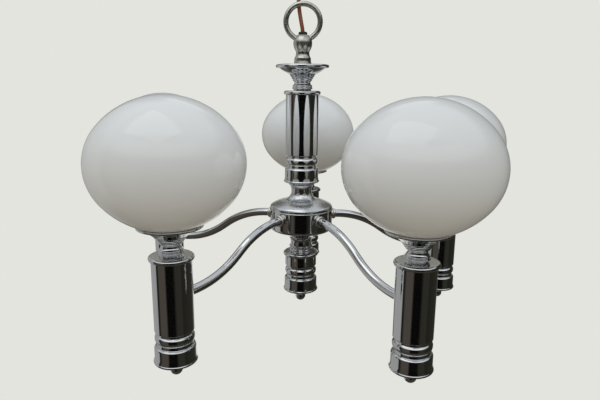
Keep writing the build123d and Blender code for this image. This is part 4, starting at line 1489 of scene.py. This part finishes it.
class CHANDELIER_OT_lamps(bpy.types.Operator):
    """Makes the lampholders and bulbs inside the globes"""

    bl_idname = "chandelier.lamps"
    bl_label = "Lampholders and bulbs"

    def execute(self, context):
        sizes = context.scene.chandelier_globes
        for number in ARMS:
            self.holder(sizes, number)
            self.bulb(sizes, number)
        return {"FINISHED"}

    def holder(self, sizes, number):
        """A lampholder with a ribbed grip."""
        node = f"lampholder_{number}"
        foot, top = (corner.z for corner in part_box(node))
        radius = sizes.holder_radius
        grip, sleeve = radius - 0.4 * MM, radius - 1.2 * MM
        rod_end, floor = foot + 8.5 * MM, foot + 12 * MM
        mouth, mouth_floor, thread = 10.2 * MM, top - 9 * MM, 7.25 * MM
        outline = [
            (0, rod_end),
            (ROD_BORE, rod_end),
            (ROD_BORE, foot),
            (radius - 1.5 * MM, foot),
            (grip, foot + 3 * MM),
            (grip, floor),
            (sleeve, floor + 1 * MM),
            (sleeve, top - 1 * MM),
            (radius - 2 * MM, top),
            (mouth, top),
            (mouth, mouth_floor),
            (thread, mouth_floor),
            (thread, floor),
            (0, floor),
        ]
        bm = turned(outline, HOLDER_STEPS, soften=0.4 * MM)
        centres = {face: face.calc_center_median() for face in bm.faces}
        side = [
            face for face, centre in centres.items()
            if foot + 4 * MM < centre.z < foot + 11 * MM and centre.xy.length > radius - 1 * MM
        ]
        side.sort(key=lambda face: atan2(centres[face].y, centres[face].x))
        bmesh.ops.inset_individual(bm, faces=side[::2], thickness=0.15 * MM, depth=0.4 * MM)
        bm = at_places(bm, [at_axis(node)])
        finished(f"{node}_shell", bm, holder_plastic(), "holder_plastic", [node])

    def bulb(self, sizes, number):
        """A golf-ball bulb's envelope and cap."""
        node = f"bulb_{number}"
        foot, top = (corner.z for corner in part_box(node))
        ball, neck = sizes.bulb_radius, 9.5 * MM
        ball_level = top - ball
        cap_radius, cap_top = 7 * MM, foot + 24 * MM
        lean = radians(32)
        join = (ball * sin(lean), ball_level - ball * cos(lean))
        place = [at_axis(node)]
        cap = [
            (0, foot),
            (2.4 * MM, foot),
            (3 * MM, foot + 1.6 * MM),
            (6 * MM, foot + 4 * MM),
            (cap_radius, foot + 5 * MM),
            (cap_radius, cap_top),
            (0, cap_top),
        ]
        bm = turned(cap, ROD_STEPS, place)
        finished(f"{node}_cap", bm, zinc_steel(), "zinc_steel")
        glass = [
            (0, cap_top),
            (neck - 1.5 * MM, cap_top),
            (neck - 0.6 * MM, (cap_top + join[1]) / 2, *join),
            (ball, ball_level, 0, ball_level + ball),
        ]
        bm = turned(glass, ROD_STEPS, place, finest=BULB_TURN)
        finished(f"{node}_glass", bm, frosted_bulb(), "bulb_glass", [node])


class CHANDELIER_OT_hidden_pieces(bpy.types.Operator):
    """Gives the pieces inside the columns and hub their finishes"""

    bl_idname = "chandelier.hidden_pieces"
    bl_label = "Inside pieces"

    def execute(self, context):
        finishes = {
            "arm_locknuts": zinc_steel(),
            "rod_nuts": zinc_steel(),
            "column_rods": zinc_steel(),
            "centre_rod": zinc_steel(),
            "junction_block": porcelain(),
            "arm_wires": wire_insulation(),
            "inner_cable": brown_cable(),
        }
        for name, finish in finishes.items():
            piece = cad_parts[name]
            for place in piece.material_slots:
                place.material = finish
        return {"FINISHED"}


OPERATORS = (
    CHANDELIER_OT_stage,
    CHANDELIER_OT_cable,
    CHANDELIER_OT_loop,
    CHANDELIER_OT_galleries,
    CHANDELIER_OT_columns,
    CHANDELIER_OT_hub,
    CHANDELIER_OT_arms,
    CHANDELIER_OT_globes,
    CHANDELIER_OT_springs,
    CHANDELIER_OT_lamps,
    CHANDELIER_OT_hidden_pieces,
)

SETTINGS = {
    "chandelier_columns": ColumnSizes,
    "chandelier_gallery": GallerySizes,
    "chandelier_top_dish": TopDishSizes,
    "chandelier_globes": GlobeSizes,
    "chandelier_arms": ArmSizes,
    "chandelier_hub": HubSizes,
    "chandelier_loop": LoopSizes,
    "chandelier_finishes": Finishes,
    "chandelier_studio": Studio,
}


class CHANDELIER_PT_panel(bpy.types.Panel):
    """Lists the chandelier's sizes and the steps that build it"""

    bl_idname = "CHANDELIER_PT_panel"
    bl_label = "Chandelier"
    bl_space_type = "VIEW_3D"
    bl_region_type = "UI"
    bl_category = "Chandelier"

    def draw(self, context):
        for name in SETTINGS:
            settings = getattr(context.scene, name)
            box = self.layout.box()
            box.label(text=settings.bl_rna.description)
            for prop in settings.bl_rna.properties:
                if prop.identifier not in {"rna_type", "name"}:
                    box.prop(settings, prop.identifier)
        for operator in OPERATORS:
            self.layout.operator(operator.bl_idname)


def register():
    """Registers the settings, operators and panel."""
    for name, settings in SETTINGS.items():
        bpy.utils.register_class(settings)
        setattr(bpy.types.Scene, name, bpy.props.PointerProperty(type=settings))
    for operator in OPERATORS:
        bpy.utils.register_class(operator)
    bpy.utils.register_class(CHANDELIER_PT_panel)


def unregister():
    """Removes what register added."""
    bpy.utils.unregister_class(CHANDELIER_PT_panel)
    for operator in reversed(OPERATORS):
        bpy.utils.unregister_class(operator)
    for name, settings in reversed(SETTINGS.items()):
        delattr(bpy.types.Scene, name)
        bpy.utils.unregister_class(settings)


def main():
    """Builds the stage and every piece."""
    register()
    for operator in OPERATORS:
        getattr(bpy.ops.chandelier, operator.bl_idname.split(".")[1])()


if __name__ == "__main__":
    main()
